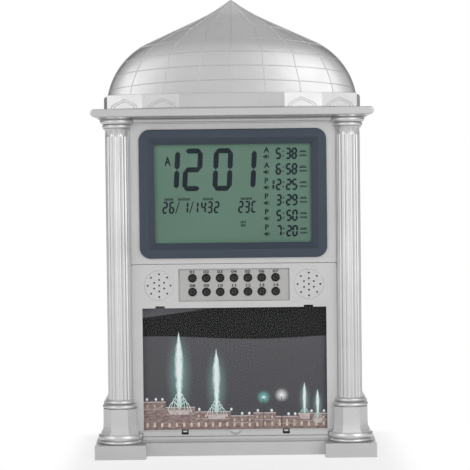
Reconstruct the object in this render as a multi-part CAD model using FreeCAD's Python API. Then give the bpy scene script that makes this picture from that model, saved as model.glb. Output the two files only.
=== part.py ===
import FreeCAD, Part

import math
import os

# Azan clock: a free-standing or wall-hung LCD clock in a silver moulded case shaped like a small
# domed pavilion. X is to the right, Y runs from the front to the back, Z is up. The origin is the
# middle of the footprint, on the surface that the clock stands on. Millimetres.

# ---------------------------------------------------------------- driving sizes

# Fits
seat_gap = 0.15            # between mouldings that drop into each other
move_gap = 0.3             # between a moving piece and what it passes
pin_gap = 0.07             # radial, hinge pin in its hole
thread_gap = 0.05          # radial, screw in its pilot hole
screw_gap = 0.2            # radial, screw through a board or frame
case_screw_gap = 0.3       # radial, case screw through its post

# Case shells
depth = 62.0               # plinth face to back face
plinth_projection = 17.0   # plinth face in front of the fascia
front_shell_depth = 24.0   # fascia plane to the parting line
case_wall = 2.2
panel_wall = 2.5           # front wall and both fascias

# Foot
plinth_height = 10.2
plinth_inner_reach = 19.0  # from the column axis towards the middle
plinth_outer_reach = 17.8  # from the column axis outwards
plinth_round = 0.6
foot_lift = 0.5            # skirt clears the table, so the clock stands on its two plinths
skirt_top = 10.2
skirt_projection = 3.5
skirt_round = 0.5
cove_top = 12.2            # shadow cove over the skirt
cove_depth = 0.3           # cove floor in front of the fascia
step_top = 14.1
step_projection = 2.4
sill_bottom = 14.5
sill_top = 17.9
sill_projection = 1.5
sill_groove = 0.9          # floor of the groove under the sill, in front of the fascia

# Columns
shaft_radius = 8.5
shaft_taper = 0.3          # radius lost from foot to neck
reeds = 8                  # on the half round that shows
reed_depth = 0.7
lower_ring_radius = 15.6
lower_ring_height = 2.6
upper_ring_radius = 16.1
upper_ring_height = 4.2
upper_ring_bulge = 0.8     # millimetres that its outer face swells
pedestal_half = 11.9
pedestal_facet = 5.9       # half the width of its front facet
pedestal_height = 18.4
pedestal_flare = 1.13      # foot of the pedestal over its waist
pedestal_flare_height = 9.0
cushion_radius = 12.8
cushion_height = 3.1
collar_radius = 10.8
collar_height = 3.2
neck_band_height = 5.7
neck_band_radius = 10.0
small_torus_radius = 10.6
small_torus_height = 3.0
large_torus_radius = 12.0
large_torus_height = 4.0
abacus_radius = 11.0
abacus_height = 1.0
peg_width = 4.0
peg_inset = 45.0           # pegs from each end of the shaft
column_to_fascia = 0.5     # column edge to fascia edge
column_to_side = 0.1       # column edge to the side of the case

# Cornice, drum and dome
bed_height = 4.6
bed_roll_radius = 1.55     # rounded moulding under the cornice
bed_roll_projection = 3.0
bed_fillet = 1.0           # flat band above and below the roll, in front of the fascia
cornice_height = 5.6
cornice_projection = 16.0  # in front of the fascia
cornice_edge = 0.8         # rounding of its front edges
drum_height = 10.7
drum_half = 90.3
drum_groove = 0.7          # shadow groove at the drum's foot, its height and depth
drum_front = 12.0          # centre facet in front of the fascia
drum_facet_1 = (37.5, 0.0)     # half-width of each plan corner, and its set-back
drum_facet_2 = (64.5, 6.0)
drum_facet_3_setback = 18.0
rear_drum_overhang = 3.4   # rear shell stands out past each end of the drum
rear_drum_corner = 2.0
dome_height = 68.6
dome_inset = 0.3           # dome edge inside the drum edge
dome_bulge = 23.6          # front of the dome from its own axis
# Half outline of the dome as shares of its half-width and height: foot, a point on the shoulder
# arc and its end, the end of the straight slope, a point on the hollow arc, and the tip.
dome_outline = [(1.0, 0.0), (0.873, 0.348), (0.666, 0.553), (0.19, 0.836), (0.093, 0.915), (0.0, 1.0)]

# Sides of the case, matching the column mouldings
side_round = [(1.0, 2.9), (2.9, 5.6)]  # round over the plinth, its middle and end: in and up
side_cove = (1.4, 8.3)     # middle of the hollow above: outside the pedestal, over the plinth
side_cove_end = 12.8       # over the plinth
side_pedestal_step = 2.4
side_cushion_step = 3.4
side_cushion_slope = 0.6
side_shaft_cove = (1.0, 1.3)   # middle of the hollow above the cushion: out and up
side_shaft_cove_height = 5.3
side_bed_step = 3.0
side_bed_slope = (0.8, 1.5)    # height of its lower slope, and how far it leans out above

# Display
view_width = 113.5
view_height = 71.2
bezel_border_x = 10.75
bezel_border_z = 10.8
fascia_border = 6.5        # fascia beside the bezel
bezel_corner = 8.0
bezel_stand = 2.0          # proud of the fascia
bezel_lip = 2.4            # flange resting on the fascia
bezel_slope = 4.6          # width of the inner bevel
bezel_edge = 0.8           # rounding of its outer front edge
bezel_mouth_land = 0.8     # straight part of its mouth behind the bevel
window_thickness = 1.2
lcd_thickness = 2.4
lcd_margin = 3.8           # glass past the visible area
holder_wall_x = 9.0
holder_wall_z = 6.0
zebra_height = 2.0
zebra_width = 2.6
zebra_inset = 4.0          # strip's end inside the glass
board_thickness = 1.6
board_margin = 2.6         # board inside the holder's edge
chip_radius = 8.0
chip_height = 1.6
chip_rise = 8.0            # above the middle of the display
crystal_radius = 1.5
crystal_length = 6.0
crystal_x = 18.0
crystal_drop = 14.0        # below the middle of the display
holder_screw_inset = 16.0  # from the bezel's upper and lower edges
holder_screw_out = 2.2     # outside the glass
board_screw_bite = 2.2

# Keypad
key_columns = 7
key_rows = 2
key_pitch = 10.0
key_radius = 2.8
key_hole_radius = 3.12
key_stand = 1.0            # proud of the key plate
key_travel = 0.8
key_collar_radius = 3.7
key_collar = 0.8
key_dish_radius = 1.9
key_dish = 0.4
key_bevel = 0.35
plate_margin_x = 9.95      # outer key axis to the edge of the recess
plate_margin_z = 6.65
plate_recess = 1.2
plate_flange = 1.2
plate_flange_thickness = 1.5
mat_thickness = 1.0
mat_gap = 0.2              # mat to a key that is fully pressed
keypad_screw_inset = 3.4   # from the ends of the recess
keypad_screw_skin = 1.0    # plate left in front of a pilot hole
keypad_boss_radius = 2.2
mat_margin = 0.5           # mat and board inside the flange's edge

# Speakers
speaker_radius = 11.0
speaker_flange = 0.8
speaker_rim = 1.7          # flat rim that the cone hangs from
speaker_cone_depth = 4.2
magnet_radius = 6.6
magnet_height = 4.0
speaker_ring_wall = 1.0
speaker_ring_height = 3.0
speaker_ring_space = 0.7   # ring to the key plate's flange
grille_disc_radius = 10.9
grille_disc_height = 0.4
grille_hole_radius = 0.7
grille_hole_sides = 8
grille_counts = (1, 6, 8)  # holes on each circle
grille_radii = (0.0, 4.1, 8.2)

# Picture window
side_rail = 7.65           # fascia beside the window
window_sill_gap = 0.85     # sill to the window's lower edge
window_height = 88.15
window_to_keypad = 4.8
keypad_to_split = 3.7
bezel_margin_low = 4.1     # split line to the bezel
bezel_margin_high = 4.4    # bezel to the bed moulding
fascia_tuck = 5.0          # lower fascia behind the sill
fascia_corner = 2.0
ledge_width = 3.0          # ledge behind the fascias, on both sides of their edge
ledge_lap_low = 2.5
ledge_lap_high = 1.2
cover_thickness = 2.0
cover_recess = 0.4
cover_top_gap = 0.5        # lets the rounded upper edge swing
cover_hook_x = 53.5
cover_hook_width = 6.2
cover_hook_thickness = 1.0
cover_pin_radius = 0.5
cover_pin_length = 0.8
cover_pin_rise = 0.65      # pin axis above the window's upper edge
cover_pin_setback = 0.1    # pin axis behind the middle of the cover, so it hangs shut
cover_clip_x = 36.5
cover_clip_width = 3.4
cover_clip_thickness = 1.2
cover_clip_drop = 2.4
clip_slot_width = 5.0
clip_slot_drop = 3.2
finger_scoop_radius = 6.0  # round scoop in the sill, for lifting the cover
finger_scoop_rise = 1.6    # its centre above the window's lower edge
finger_scoop_stand = 3.0   # and in front of the sill
card_thickness = 0.5
card_overlap = 0.55        # card past the window on each side
card_gap = 0.2             # card to the tray's wall
tray_floor = 1.6
tray_wall = 2.5
tray_wall_z = 1.7
tray_depth = 1.1           # back of the fascia to the tray's floor

# Battery bay in the back
cell_radius = 7.1
cell_body = 49.2
cell_nub = 1.3
cell_nub_radius = 2.6
cell_pitch = 15.0
cells = 3
contact_space = 2.4
contact_plate = 0.4
contact_width = 9.0
contact_button_radius = 2.4
leaf_width = 5.0
leaf_clearance = 0.05      # leaf to the flat end of its cell
cell_clearance = 0.2
cover_foam_gap = 0.4
bay_wall = 1.6
bay_centre_z = 78.0
door_border = 3.0
door_thickness = 2.2
pull_radius = 5.4          # round thumb pull across the foot of the door
pull_depth = 1.2
pull_rise = 8.0
pull_half = 8.0
door_pin_radius = 0.7
door_pin_length = 1.6
door_pin_setback = 0.15    # pin axis inside the middle of the door, so it hangs shut
hinge_boss = 2.6
hinge_boss_reach = 2.0     # below and in front of the pin axis

# Screws and hangers
post_radius = 4.0
rear_post_extra = 0.6      # rear posts are thicker
post_inset = 7.6           # post axis inside the side of the case
screw_radius = 1.4
screw_head_radius = 3.0
screw_head_height = 2.0
head_gap = 0.4             # radial, case screw's head in its counterbore
screw_bite = 9.0
screw_floor = 2.5
post_heights = (62.0, 148.0, 222.0)
dome_post_rise = 34.0      # above the dome's foot
small_screw_radius = 0.9
small_head_radius = 1.9
small_head_height = 1.3
keyhole_x = 55.0
keyhole_z = 222.0
keyhole_radius = 4.6
keyhole_slot_radius = 2.3
keyhole_rise = 8.0
hanger_pad = 9.0           # thicker wall round a keyhole, from its middle
hanger_pad_thickness = 1.6
ribbon_width = 18.0
ribbon_thickness = 0.4
ribbon_lap = 5.0
ribbon_stand = 2.0         # behind the boards

# ---------------------------------------------------------------- levels and planes

front_y = -depth / 2
back_y = depth / 2
panel_y = front_y + plinth_projection
panel_back_y = panel_y + panel_wall
parting_y = panel_y + front_shell_depth
back_inner_y = back_y - case_wall

bezel_width = view_width + 2 * bezel_border_x
bezel_height = view_height + 2 * bezel_border_z
fascia_half = bezel_width / 2 + fascia_border
column_x = fascia_half + column_to_fascia + shaft_radius
body_half = column_x + shaft_radius + column_to_side
foot_half = column_x + plinth_outer_reach

plate_half = (key_columns - 1) * key_pitch / 2 + plate_margin_x
plate_height = (key_rows - 1) * key_pitch + 2 * plate_margin_z
speaker_ring_outer = speaker_radius + seat_gap + speaker_ring_wall
speaker_x = plate_half + plate_flange + speaker_ring_space + speaker_ring_outer

window_half = fascia_half - side_rail
window_bottom = sill_top + window_sill_gap
window_top = window_bottom + window_height
keypad_bottom = window_top + window_to_keypad
keypad_z = keypad_bottom + plate_height / 2
split_z = keypad_bottom + plate_height + keypad_to_split
bezel_z = split_z + bezel_margin_low + bezel_height / 2
bed_bottom = bezel_z + bezel_height / 2 + bezel_margin_high
cornice_bottom = bed_bottom + bed_height
cornice_top = cornice_bottom + cornice_height
drum_top = cornice_top + drum_height
dome_half = drum_half - dome_inset

ring_top = plinth_height + lower_ring_height + upper_ring_height
pedestal_top = ring_top + pedestal_height
shaft_bottom = pedestal_top + cushion_height + collar_height
neck_top = cornice_bottom - abacus_height - large_torus_height - small_torus_height
shaft_top = neck_top - neck_band_height

drum_front_y = panel_y - drum_front
dome_axis_y = drum_front_y + dome_bulge + dome_inset + 0.1

bezel_face_y = panel_y - bezel_stand
window_back_y = panel_back_y + window_thickness
lcd_back_y = window_back_y + lcd_thickness
board_front_y = lcd_back_y + zebra_height
board_back_y = board_front_y + board_thickness
lcd_half = view_width / 2 + lcd_margin
lcd_half_z = view_height / 2 + lcd_margin
holder_half = lcd_half + seat_gap + holder_wall_x
holder_half_z = lcd_half_z + seat_gap + holder_wall_z

plate_face_y = panel_y + plate_recess
plate_back_y = panel_back_y + plate_flange_thickness
collar_y = plate_back_y + move_gap
key_back_y = collar_y + key_collar
mat_front_y = key_back_y + key_travel + mat_gap
mat_back_y = mat_front_y + mat_thickness
keypad_board_back_y = mat_back_y + board_thickness

cover_front_y = panel_y + cover_recess
cover_back_y = cover_front_y + cover_thickness
cover_axis_y = (cover_front_y + cover_back_y) / 2 + cover_pin_setback
cover_axis_z = window_top + cover_pin_rise
hook_notch_top = cover_axis_z + cover_pin_radius + move_gap
tray_floor_y = panel_back_y + tray_depth

cell_y = back_y - door_thickness - cover_foam_gap - cell_radius
bay_floor_y = cell_y - cell_radius - cell_clearance
bay_half = (cell_body + cell_nub) / 2 + contact_space
bay_half_z = cells * cell_pitch / 2 + 0.4

# ---------------------------------------------------------------- building helpers


def block(x0, x1, y0, y1, z0, z1):
    """Rectangular solid between two corners."""
    return Part.makeBox(x1 - x0, y1 - y0, z1 - z0, FreeCAD.Vector(x0, y0, z0))


def square_bar_y(x, z, width, y0, y1):
    """Square bar along Y."""
    return block(x - width / 2, x + width / 2, y0, y1, z - width / 2, z + width / 2)


def rod_y(x, z, radius, y0, y1):
    """Cylinder along Y."""
    return Part.makeCylinder(radius, y1 - y0, FreeCAD.Vector(x, y0, z), FreeCAD.Vector(0, 1, 0))


def faceted_rod_y(x, z, radius, sides, y0, y1):
    """Prism with a regular polygon as its section, along Y."""
    turns = [2 * math.pi * k / sides for k in range(sides + 1)]
    corners = [FreeCAD.Vector(x + radius * math.cos(t), y0, z + radius * math.sin(t)) for t in turns]
    return Part.Face(Part.makePolygon(corners)).extrude(FreeCAD.Vector(0, y1 - y0, 0))


def rod_x(y, z, radius, x0, x1):
    """Cylinder along X."""
    return Part.makeCylinder(radius, x1 - x0, FreeCAD.Vector(x0, y, z), FreeCAD.Vector(1, 0, 0))


def rod_z(x, y, radius, z0, z1):
    """Upright cylinder."""
    return Part.makeCylinder(radius, z1 - z0, FreeCAD.Vector(x, y, z0))


def rounded_plate(x, z, width, height, corner, y0, y1):
    """Plate facing the front, with rounded corners."""
    plate = block(x - width / 2, x + width / 2, y0, y1, z - height / 2, z + height / 2)
    edges = [e for e in plate.Edges if abs(e.Vertexes[0].Point.y - e.Vertexes[1].Point.y) > 1e-6]
    return plate.makeFillet(corner, edges)


def path_edges(start, steps, place):
    """Edges of an open path: a step is an end point, or a middle and an end point of an arc."""
    edges = []
    here = place(*start)
    for step in steps:
        if isinstance(step[0], tuple):
            middle, end = place(*step[0]), place(*step[1])
            edges.append(Part.Arc(here, middle, end).toShape())
        else:
            end = place(*step)
            edges.append(Part.LineSegment(here, end).toShape())
        here = end
    return edges


def outline_prism(start, steps, y0, y1):
    """Solid whose front view is a right-hand path from the axis back to it, and its mirror image."""
    right = path_edges(start, steps, lambda x, z: FreeCAD.Vector(x, y0, z))
    left = path_edges(start, steps, lambda x, z: FreeCAD.Vector(-x, y0, z))
    face = Part.Face(Part.Wire(Part.__sortEdges__(right + left)))
    return face.extrude(FreeCAD.Vector(0, y1 - y0, 0))


def section_bar(points, x0, x1):
    """Bar along X with a straight-sided section of (y, z) points."""
    wire = Part.makePolygon([FreeCAD.Vector(x0, y, z) for y, z in points + points[:1]])
    return Part.Face(wire).extrude(FreeCAD.Vector(x1 - x0, 0, 0))


def plan_prism(points, z0, z1):
    """Upright prism with a plan of (x, y) points."""
    wire = Part.makePolygon([FreeCAD.Vector(x, y, z0) for x, y in points + points[:1]])
    return Part.Face(wire).extrude(FreeCAD.Vector(0, 0, z1 - z0))


def turned(steps, start, centre, axis):
    """Solid of revolution: a closed path of (radius, along) about an axis through a point."""
    along = FreeCAD.Vector(*axis)
    across = FreeCAD.Vector(1, 0, 0)
    edges = path_edges(start, steps, lambda r, h: centre + across * r + along * h)
    return Part.Face(Part.Wire(edges)).revolve(centre, along, 360)


def both_sides(shape):
    """A shape and its mirror image across the middle of the clock."""
    return [shape, shape.mirror(FreeCAD.Vector(0, 0, 0), FreeCAD.Vector(1, 0, 0))]


def joined(shapes):
    """One solid out of pieces that touch or overlap."""
    return shapes[0].multiFuse(shapes[1:]).removeSplitter()


parts = {}

# ---------------------------------------------------------------- case outline


def body_steps(inset, top):
    """Right-hand outline of the case up to a level, with flared foot and pedestal steps."""
    foot = foot_half - inset
    pedestal = body_half + side_pedestal_step - inset
    cushion = body_half + side_cushion_step - inset
    body = body_half - inset
    (round_in, round_up), (round_end_in, round_end_up) = side_round
    cove_out, cove_up = side_cove
    shaft_out, shaft_up = side_shaft_cove
    return [
        (foot, inset),
        (foot, plinth_height),
        ((foot - round_in, plinth_height + round_up),
         (foot - round_end_in, plinth_height + round_end_up)),
        ((pedestal + cove_out, plinth_height + cove_up),
         (pedestal, plinth_height + side_cove_end)),
        (pedestal, pedestal_top),
        (cushion, pedestal_top + side_cushion_slope),
        (cushion, shaft_bottom - side_shaft_cove_height / 3),
        ((body + shaft_out, shaft_bottom + shaft_up), (body, shaft_bottom + side_shaft_cove_height)),
        (body, top),
    ]


def case_prism(y0, y1):
    """Outer body of a shell, from the table to the top of the cornice, with its bullnose ends."""
    nose = cornice_height / 2
    slope_height, lean = side_bed_slope
    steps = body_steps(0.0, bed_bottom) + [
        (body_half + side_bed_step, bed_bottom + slope_height),
        (body_half + side_bed_step + lean, cornice_bottom),
        (foot_half - nose, cornice_bottom),
        ((foot_half, cornice_bottom + nose), (foot_half - nose, cornice_top)),
        (0.0, cornice_top),
    ]
    return outline_prism((0.0, 0.0), steps, y0, y1)


def case_cavity(y0, y1, top):
    """Inside of a shell below a level."""
    return outline_prism((0.0, case_wall), body_steps(case_wall, top) + [(0.0, top)], y0, y1)


def dome_silhouette(half, height, plain=False):
    """Ogee half outline of the dome from foot to tip: shoulder arc, slope and hollow arc.

    The plain one runs straight between the same points, for the hollow inside.
    """
    foot, shoulder, shoulder_end, slope_end, hollow, tip = dome_outline
    steps = dome_outline[1:] if plain else [(shoulder, shoulder_end), slope_end, (hollow, tip)]
    return path_edges(foot, steps, lambda x, z: FreeCAD.Vector(half * x, 0, height * z))


def dome_prism(half, height, base_z, y0, y1, plain=False):
    """Dome outline carried straight back."""
    right = dome_silhouette(half, height, plain)
    left = [edge.mirror(FreeCAD.Vector(0, 0, 0), FreeCAD.Vector(1, 0, 0)) for edge in right]
    base = Part.LineSegment(FreeCAD.Vector(-half, 0, 0), FreeCAD.Vector(half, 0, 0)).toShape()
    face = Part.Face(Part.Wire(Part.__sortEdges__(right + left + [base])))
    face.translate(FreeCAD.Vector(0, y0, base_z))
    return face.extrude(FreeCAD.Vector(0, y1 - y0, 0))


def dome_bowl(half, height, base_z, bulge, plain=False):
    """Front half of the dome: the outline turned about its axis and flattened front to back."""
    outline = dome_silhouette(half, height, plain)
    axis = Part.LineSegment(FreeCAD.Vector(0, 0, height), FreeCAD.Vector(0, 0, 0)).toShape()
    foot = Part.LineSegment(FreeCAD.Vector(0, 0, 0), FreeCAD.Vector(half, 0, 0)).toShape()
    face = Part.Face(Part.Wire([foot] + outline + [axis]))
    turn = face.revolve(FreeCAD.Vector(0, 0, 0), FreeCAD.Vector(0, 0, 1), -180)
    squash = FreeCAD.Matrix()
    squash.scale(1.0, bulge / half, 1.0)
    bowl = turn.transformGeometry(squash)
    bowl.translate(FreeCAD.Vector(0, dome_axis_y, base_z))
    return bowl


# ---------------------------------------------------------------- columns


def reeded_section(radius, z):
    """Half-round wire with convex reeds, flat at the back."""
    step = math.pi / reeds
    groove = radius - reed_depth

    def at(r, angle):
        return FreeCAD.Vector(column_x + r * math.cos(angle), panel_y - r * math.sin(angle), z)

    edges = [Part.Arc(at(groove, k * step), at(radius, (k + 0.5) * step),
                      at(groove, (k + 1) * step)).toShape() for k in range(reeds)]
    edges.append(Part.LineSegment(at(groove, math.pi), at(groove, 0)).toShape())
    return Part.Wire(edges)


def pedestal_section(scale, z):
    """Plan of the faceted pedestal at one level."""
    corners = [(pedestal_half, 0.0), (pedestal_half, -pedestal_facet),
               (pedestal_facet, -pedestal_half), (-pedestal_facet, -pedestal_half),
               (-pedestal_half, -pedestal_facet), (-pedestal_half, 0.0)]
    points = [FreeCAD.Vector(column_x + x * scale, panel_y + y * scale, z) for x, y in corners]
    return Part.makePolygon(points + points[:1])


def ring_steps(bottom, height, radius, bulge=None):
    """Outline of a rounded ring on a turned piece, from its foot to its top; half round if plain."""
    edge = radius - (height / 2 if bulge is None else bulge)
    return [(edge, bottom), ((radius, bottom + height / 2), (edge, bottom + height))]


def right_column():
    """Half-round column: ringed base, faceted pedestal, reeded shaft and ringed capital."""
    centre = FreeCAD.Vector(column_x, panel_y, 0)
    base = turned(
        ring_steps(plinth_height, lower_ring_height, lower_ring_radius)
        + ring_steps(plinth_height + lower_ring_height, upper_ring_height, upper_ring_radius,
                     upper_ring_bulge)
        + [(0.0, ring_top), (0.0, plinth_height)],
        (0.0, plinth_height), centre, (0, 0, 1))
    flare_levels = [(0.0, 1.0), (0.3, 0.42), (0.62, 0.12), (1.0, 0.0)]
    flare = [pedestal_section(1 + (pedestal_flare - 1) * swell,
                              ring_top + pedestal_flare_height * rise)
             for rise, swell in flare_levels]
    pedestal_foot = Part.makeLoft(flare, True, True)
    waist = Part.Face(pedestal_section(1.0, ring_top + pedestal_flare_height))
    pedestal = waist.extrude(FreeCAD.Vector(0, 0, pedestal_height - pedestal_flare_height))
    cushions = turned(
        ring_steps(pedestal_top, cushion_height, cushion_radius)
        + ring_steps(pedestal_top + cushion_height, collar_height, collar_radius)
        + [(0.0, shaft_bottom), (0.0, pedestal_top)],
        (0.0, pedestal_top), centre, (0, 0, 1))
    shaft = Part.makeLoft([reeded_section(shaft_radius, shaft_bottom),
                           reeded_section(shaft_radius - shaft_taper, shaft_top)], True, True)
    neck_radius = shaft_radius - shaft_taper
    capital = turned(
        [(neck_radius, shaft_top),
         ((neck_radius + 0.3, shaft_top + 0.6 * neck_band_height), (neck_band_radius, neck_top))]
        + ring_steps(neck_top, small_torus_height, small_torus_radius)
        + ring_steps(neck_top + small_torus_height, large_torus_height, large_torus_radius)
        + [(abacus_radius, cornice_bottom - abacus_height), (abacus_radius, cornice_bottom),
           (0.0, cornice_bottom), (0.0, shaft_top)],
        (0.0, shaft_top), centre, (0, 0, 1))
    whole = joined([base, pedestal_foot, pedestal, cushions, shaft, capital])
    reach = upper_ring_radius + 1
    front_half = block(column_x - reach, column_x + reach, panel_y - reach, panel_y,
                       plinth_height, cornice_bottom)
    pegs = [square_bar_y(column_x, z, peg_width, panel_y - 2, panel_y + panel_wall)
            for z in peg_heights()]
    return joined([whole.common(front_half)] + pegs)


def peg_heights():
    """Levels of the pegs that locate a column in the front wall."""
    return (shaft_bottom + peg_inset, shaft_top - peg_inset)


column = right_column()
parts["right_column"] = column
parts["left_column"] = both_sides(column)[1]

# ---------------------------------------------------------------- front housing


def front_mouldings():
    """Skirt, step and sill between the plinths, and the bed moulding under the cornice."""
    reach = column_x
    skirt = section_bar([(panel_y, foot_lift), (panel_y - skirt_projection, foot_lift),
                         (panel_y - skirt_projection, skirt_top - skirt_round),
                         (panel_y - skirt_projection + skirt_round, skirt_top),
                         (panel_y - cove_depth, skirt_top),
                         (panel_y - cove_depth, cove_top),
                         (panel_y - step_projection, cove_top),
                         (panel_y - step_projection, step_top),
                         (panel_y - sill_groove, step_top),
                         (panel_y - sill_groove, sill_bottom),
                         (panel_y - sill_projection, sill_bottom),
                         (panel_y - sill_projection, sill_top),
                         (panel_y, sill_top)], -reach, reach)
    band = block(-reach, reach, panel_y - bed_fillet, panel_y, bed_bottom, cornice_bottom)
    roll_y = panel_y - bed_roll_projection + bed_roll_radius
    roll_z = bed_bottom + bed_height / 2
    roll = rod_x(roll_y, roll_z, bed_roll_radius, -reach, reach)
    web = block(-reach, reach, roll_y, panel_y, roll_z - bed_roll_radius, roll_z + bed_roll_radius)
    bed = joined([band, web, roll])
    return [skirt, bed]


def column_room():
    """Space that the columns take out of the mouldings on both sides."""
    pedestal_room = pedestal_half + seat_gap
    ring_room = max(lower_ring_radius, upper_ring_radius) + seat_gap
    front = block(column_x - 2 * ring_room, column_x + 2 * ring_room, panel_y - 2 * ring_room,
                  panel_y, 0, cornice_top)
    pieces = [
        rod_z(column_x, panel_y, ring_room, plinth_height, ring_top + seat_gap).common(front),
        block(column_x - pedestal_half * pedestal_flare - seat_gap, column_x + pedestal_room,
              panel_y - pedestal_room * pedestal_flare, panel_y, ring_top,
              ring_top + pedestal_flare_height * 0.5),
        rod_z(column_x, panel_y, large_torus_radius + seat_gap, bed_bottom - 1,
              cornice_bottom).common(front),
    ]
    return [piece for half in pieces for piece in both_sides(half)]


def cornice():
    """Slab over the columns: bullnose ends and a flat front face with softened edges."""
    front = panel_y - cornice_projection
    slab = block(-foot_half, foot_half, front, parting_y, cornice_bottom, cornice_top)
    ends = [e for e in slab.Edges
            if abs(e.Vertexes[0].Point.y - e.Vertexes[1].Point.y) > 1]
    slab = slab.makeFillet(0.49 * cornice_height, ends)
    rim = [e for e in slab.Edges if e.BoundBox.YMax < front + 1e-3]
    return slab.makeFillet(cornice_edge, rim)


def plinth():
    """Square block under the right-hand column, open to the inside of the case."""
    body = block(column_x - plinth_inner_reach, foot_half, front_y, panel_back_y, 0, plinth_height)
    rim = [e for e in body.Edges if e.CenterOfMass.y < panel_back_y - 1 and e.CenterOfMass.z > 0.01]
    return body.makeFillet(plinth_round, rim)


def plinth_hollow():
    """Hollow of the right-hand plinth."""
    return block(column_x - plinth_inner_reach + case_wall, foot_half - case_wall,
                 front_y + case_wall, panel_back_y + 1, case_wall, plinth_height - case_wall)


def drum_plan(wall, back):
    """Faceted plan of the drum, inset by a wall, open towards the back."""
    x1, y1 = drum_facet_1
    x2, y2 = drum_facet_2
    right = [(drum_half - wall, back),
             (drum_half - wall, drum_front_y + drum_facet_3_setback + 0.8 * wall),
             (x2 - 0.35 * wall, drum_front_y + y2 + wall),
             (x1 - 0.1 * wall, drum_front_y + y1 + wall)]
    return right + [(-x, y) for x, y in reversed(right)]


def case_posts():
    """Axes (x, z) of the screw posts that join the two shells."""
    x = body_half - post_inset
    return [(side * x, z) for side in (-1, 1) for z in post_heights]


def front_housing():
    """Front shell: side walls, front frame, ledge, mouldings, plinths and cornice."""
    skirt, bed = front_mouldings()
    shell = joined([case_prism(panel_y, parting_y), skirt, bed, cornice()] + both_sides(plinth()))
    ledge_y = panel_back_y + case_wall
    opening_half = fascia_half + seat_gap
    opening_low = sill_top - fascia_tuck - seat_gap
    ledge = block(-opening_half - ledge_width, opening_half + ledge_width, panel_back_y - 0.5,
                  ledge_y, opening_low - ledge_width, bed_bottom + ledge_width)
    ledge_hole = block(-opening_half + ledge_width, opening_half - ledge_width, panel_back_y - 1,
                       ledge_y + 1, opening_low + ledge_lap_low, bed_bottom - ledge_lap_high)
    cuts = [
        case_cavity(panel_back_y, parting_y + 1, cornice_top - case_wall),
        plan_prism(drum_plan(2 * case_wall, parting_y + 1), cornice_top - 1.5 * case_wall,
                   cornice_top + 1),
        block(-column_x + plinth_inner_reach, column_x - plinth_inner_reach,
              panel_y - skirt_projection, parting_y + 1, -1, foot_lift),
    ] + both_sides(plinth_hollow()) + column_room()
    shell = shell.cut(cuts)
    posts = [rod_y(x, z, post_radius, panel_back_y - 0.5, parting_y) for x, z in case_posts()]
    shell = joined([shell, ledge.cut(ledge_hole)] + posts)
    opening = block(-opening_half, opening_half, panel_y - 0.01, panel_back_y,
                    opening_low, bed_bottom)
    pilots = [rod_y(x, z, screw_radius + thread_gap, parting_y - screw_bite - 1, parting_y + 1)
              for x, z in case_posts()]
    peg_holes = [square_bar_y(side * column_x, z, peg_width + 2 * seat_gap,
                              panel_y - 1, panel_back_y + 1)
                 for side in (-1, 1) for z in peg_heights()]
    clip_slots = [block(side * cover_clip_x - clip_slot_width / 2,
                        side * cover_clip_x + clip_slot_width / 2,
                        panel_y - sill_projection - 1, panel_y + 0.01,
                        window_bottom - clip_slot_drop, window_bottom) for side in (-1, 1)]
    return shell.cut([opening] + pilots + peg_holes + clip_slots + [finger_scoop()])


def finger_scoop():
    """Round scoop in the middle of the sill, for lifting the window cover."""
    face = panel_y - sill_projection
    centre = FreeCAD.Vector(0, face - finger_scoop_stand, window_bottom + finger_scoop_rise)
    ball = Part.makeSphere(finger_scoop_radius, centre)
    return ball.common(block(-finger_scoop_radius, finger_scoop_radius, face - 1, panel_y + 0.01,
                             step_top, sill_top + 1))


parts["front_housing"] = front_housing()

# ---------------------------------------------------------------- drum and dome


def dome_drum():
    """Faceted frieze between the cornice and the dome."""
    foot = plan_prism(drum_plan(drum_groove, parting_y), cornice_top, cornice_top + drum_groove)
    outer = plan_prism(drum_plan(0.0, parting_y), cornice_top + drum_groove, drum_top)
    inner = plan_prism(drum_plan(case_wall, parting_y + 1), cornice_top - 1, drum_top + 1)
    return joined([foot, outer]).cut(inner)


def dome_shell():
    """Front of the dome, with the post that its screw bites into."""
    outer = joined([dome_bowl(dome_half, dome_height, drum_top, dome_bulge),
                    dome_prism(dome_half, dome_height, drum_top, dome_axis_y, parting_y)])
    inner_half = dome_half - case_wall
    inner_height = dome_height - 1.25 * case_wall
    inner = joined([dome_bowl(inner_half, inner_height, drum_top, dome_bulge - case_wall, True),
                    dome_prism(inner_half, inner_height, drum_top, dome_axis_y, parting_y, True)])
    z = drum_top + dome_post_rise
    post = rod_y(0, z, post_radius, drum_front_y, parting_y).common(outer)
    pilot = rod_y(0, z, screw_radius + thread_gap, parting_y - screw_bite - 1, parting_y + 1)
    return joined([outer.cut(inner), post]).cut(pilot)


parts["dome_drum"] = dome_drum()
parts["dome_shell"] = dome_shell()

# ---------------------------------------------------------------- rear housing


def door_opening(gap):
    """Opening for the battery door, or the door's own block with a gap all round."""
    half = bay_half + door_border - gap
    low = bay_centre_z - bay_half_z - door_border + gap
    high = bay_centre_z + bay_half_z + door_border - gap
    return half, low, high


def hinge_axis():
    """Battery door axis (y, z), in the door's rounded upper edge."""
    half, low, high = door_opening(move_gap)
    return back_y - door_thickness / 2 - door_pin_setback, high - door_thickness / 2


def keyhole():
    """Round entry with a slot above it, through the back wall."""
    half_slot = keyhole_slot_radius
    cuts = []
    for side in (-1, 1):
        x = side * keyhole_x
        cuts.append(rod_y(x, keyhole_z, keyhole_radius, back_inner_y - 3, back_y + 1))
        cuts.append(block(x - half_slot, x + half_slot, back_inner_y - 3, back_y + 1,
                          keyhole_z, keyhole_z + keyhole_rise))
        cuts.append(rod_y(x, keyhole_z + keyhole_rise, half_slot, back_inner_y - 3, back_y + 1))
    return cuts


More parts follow.
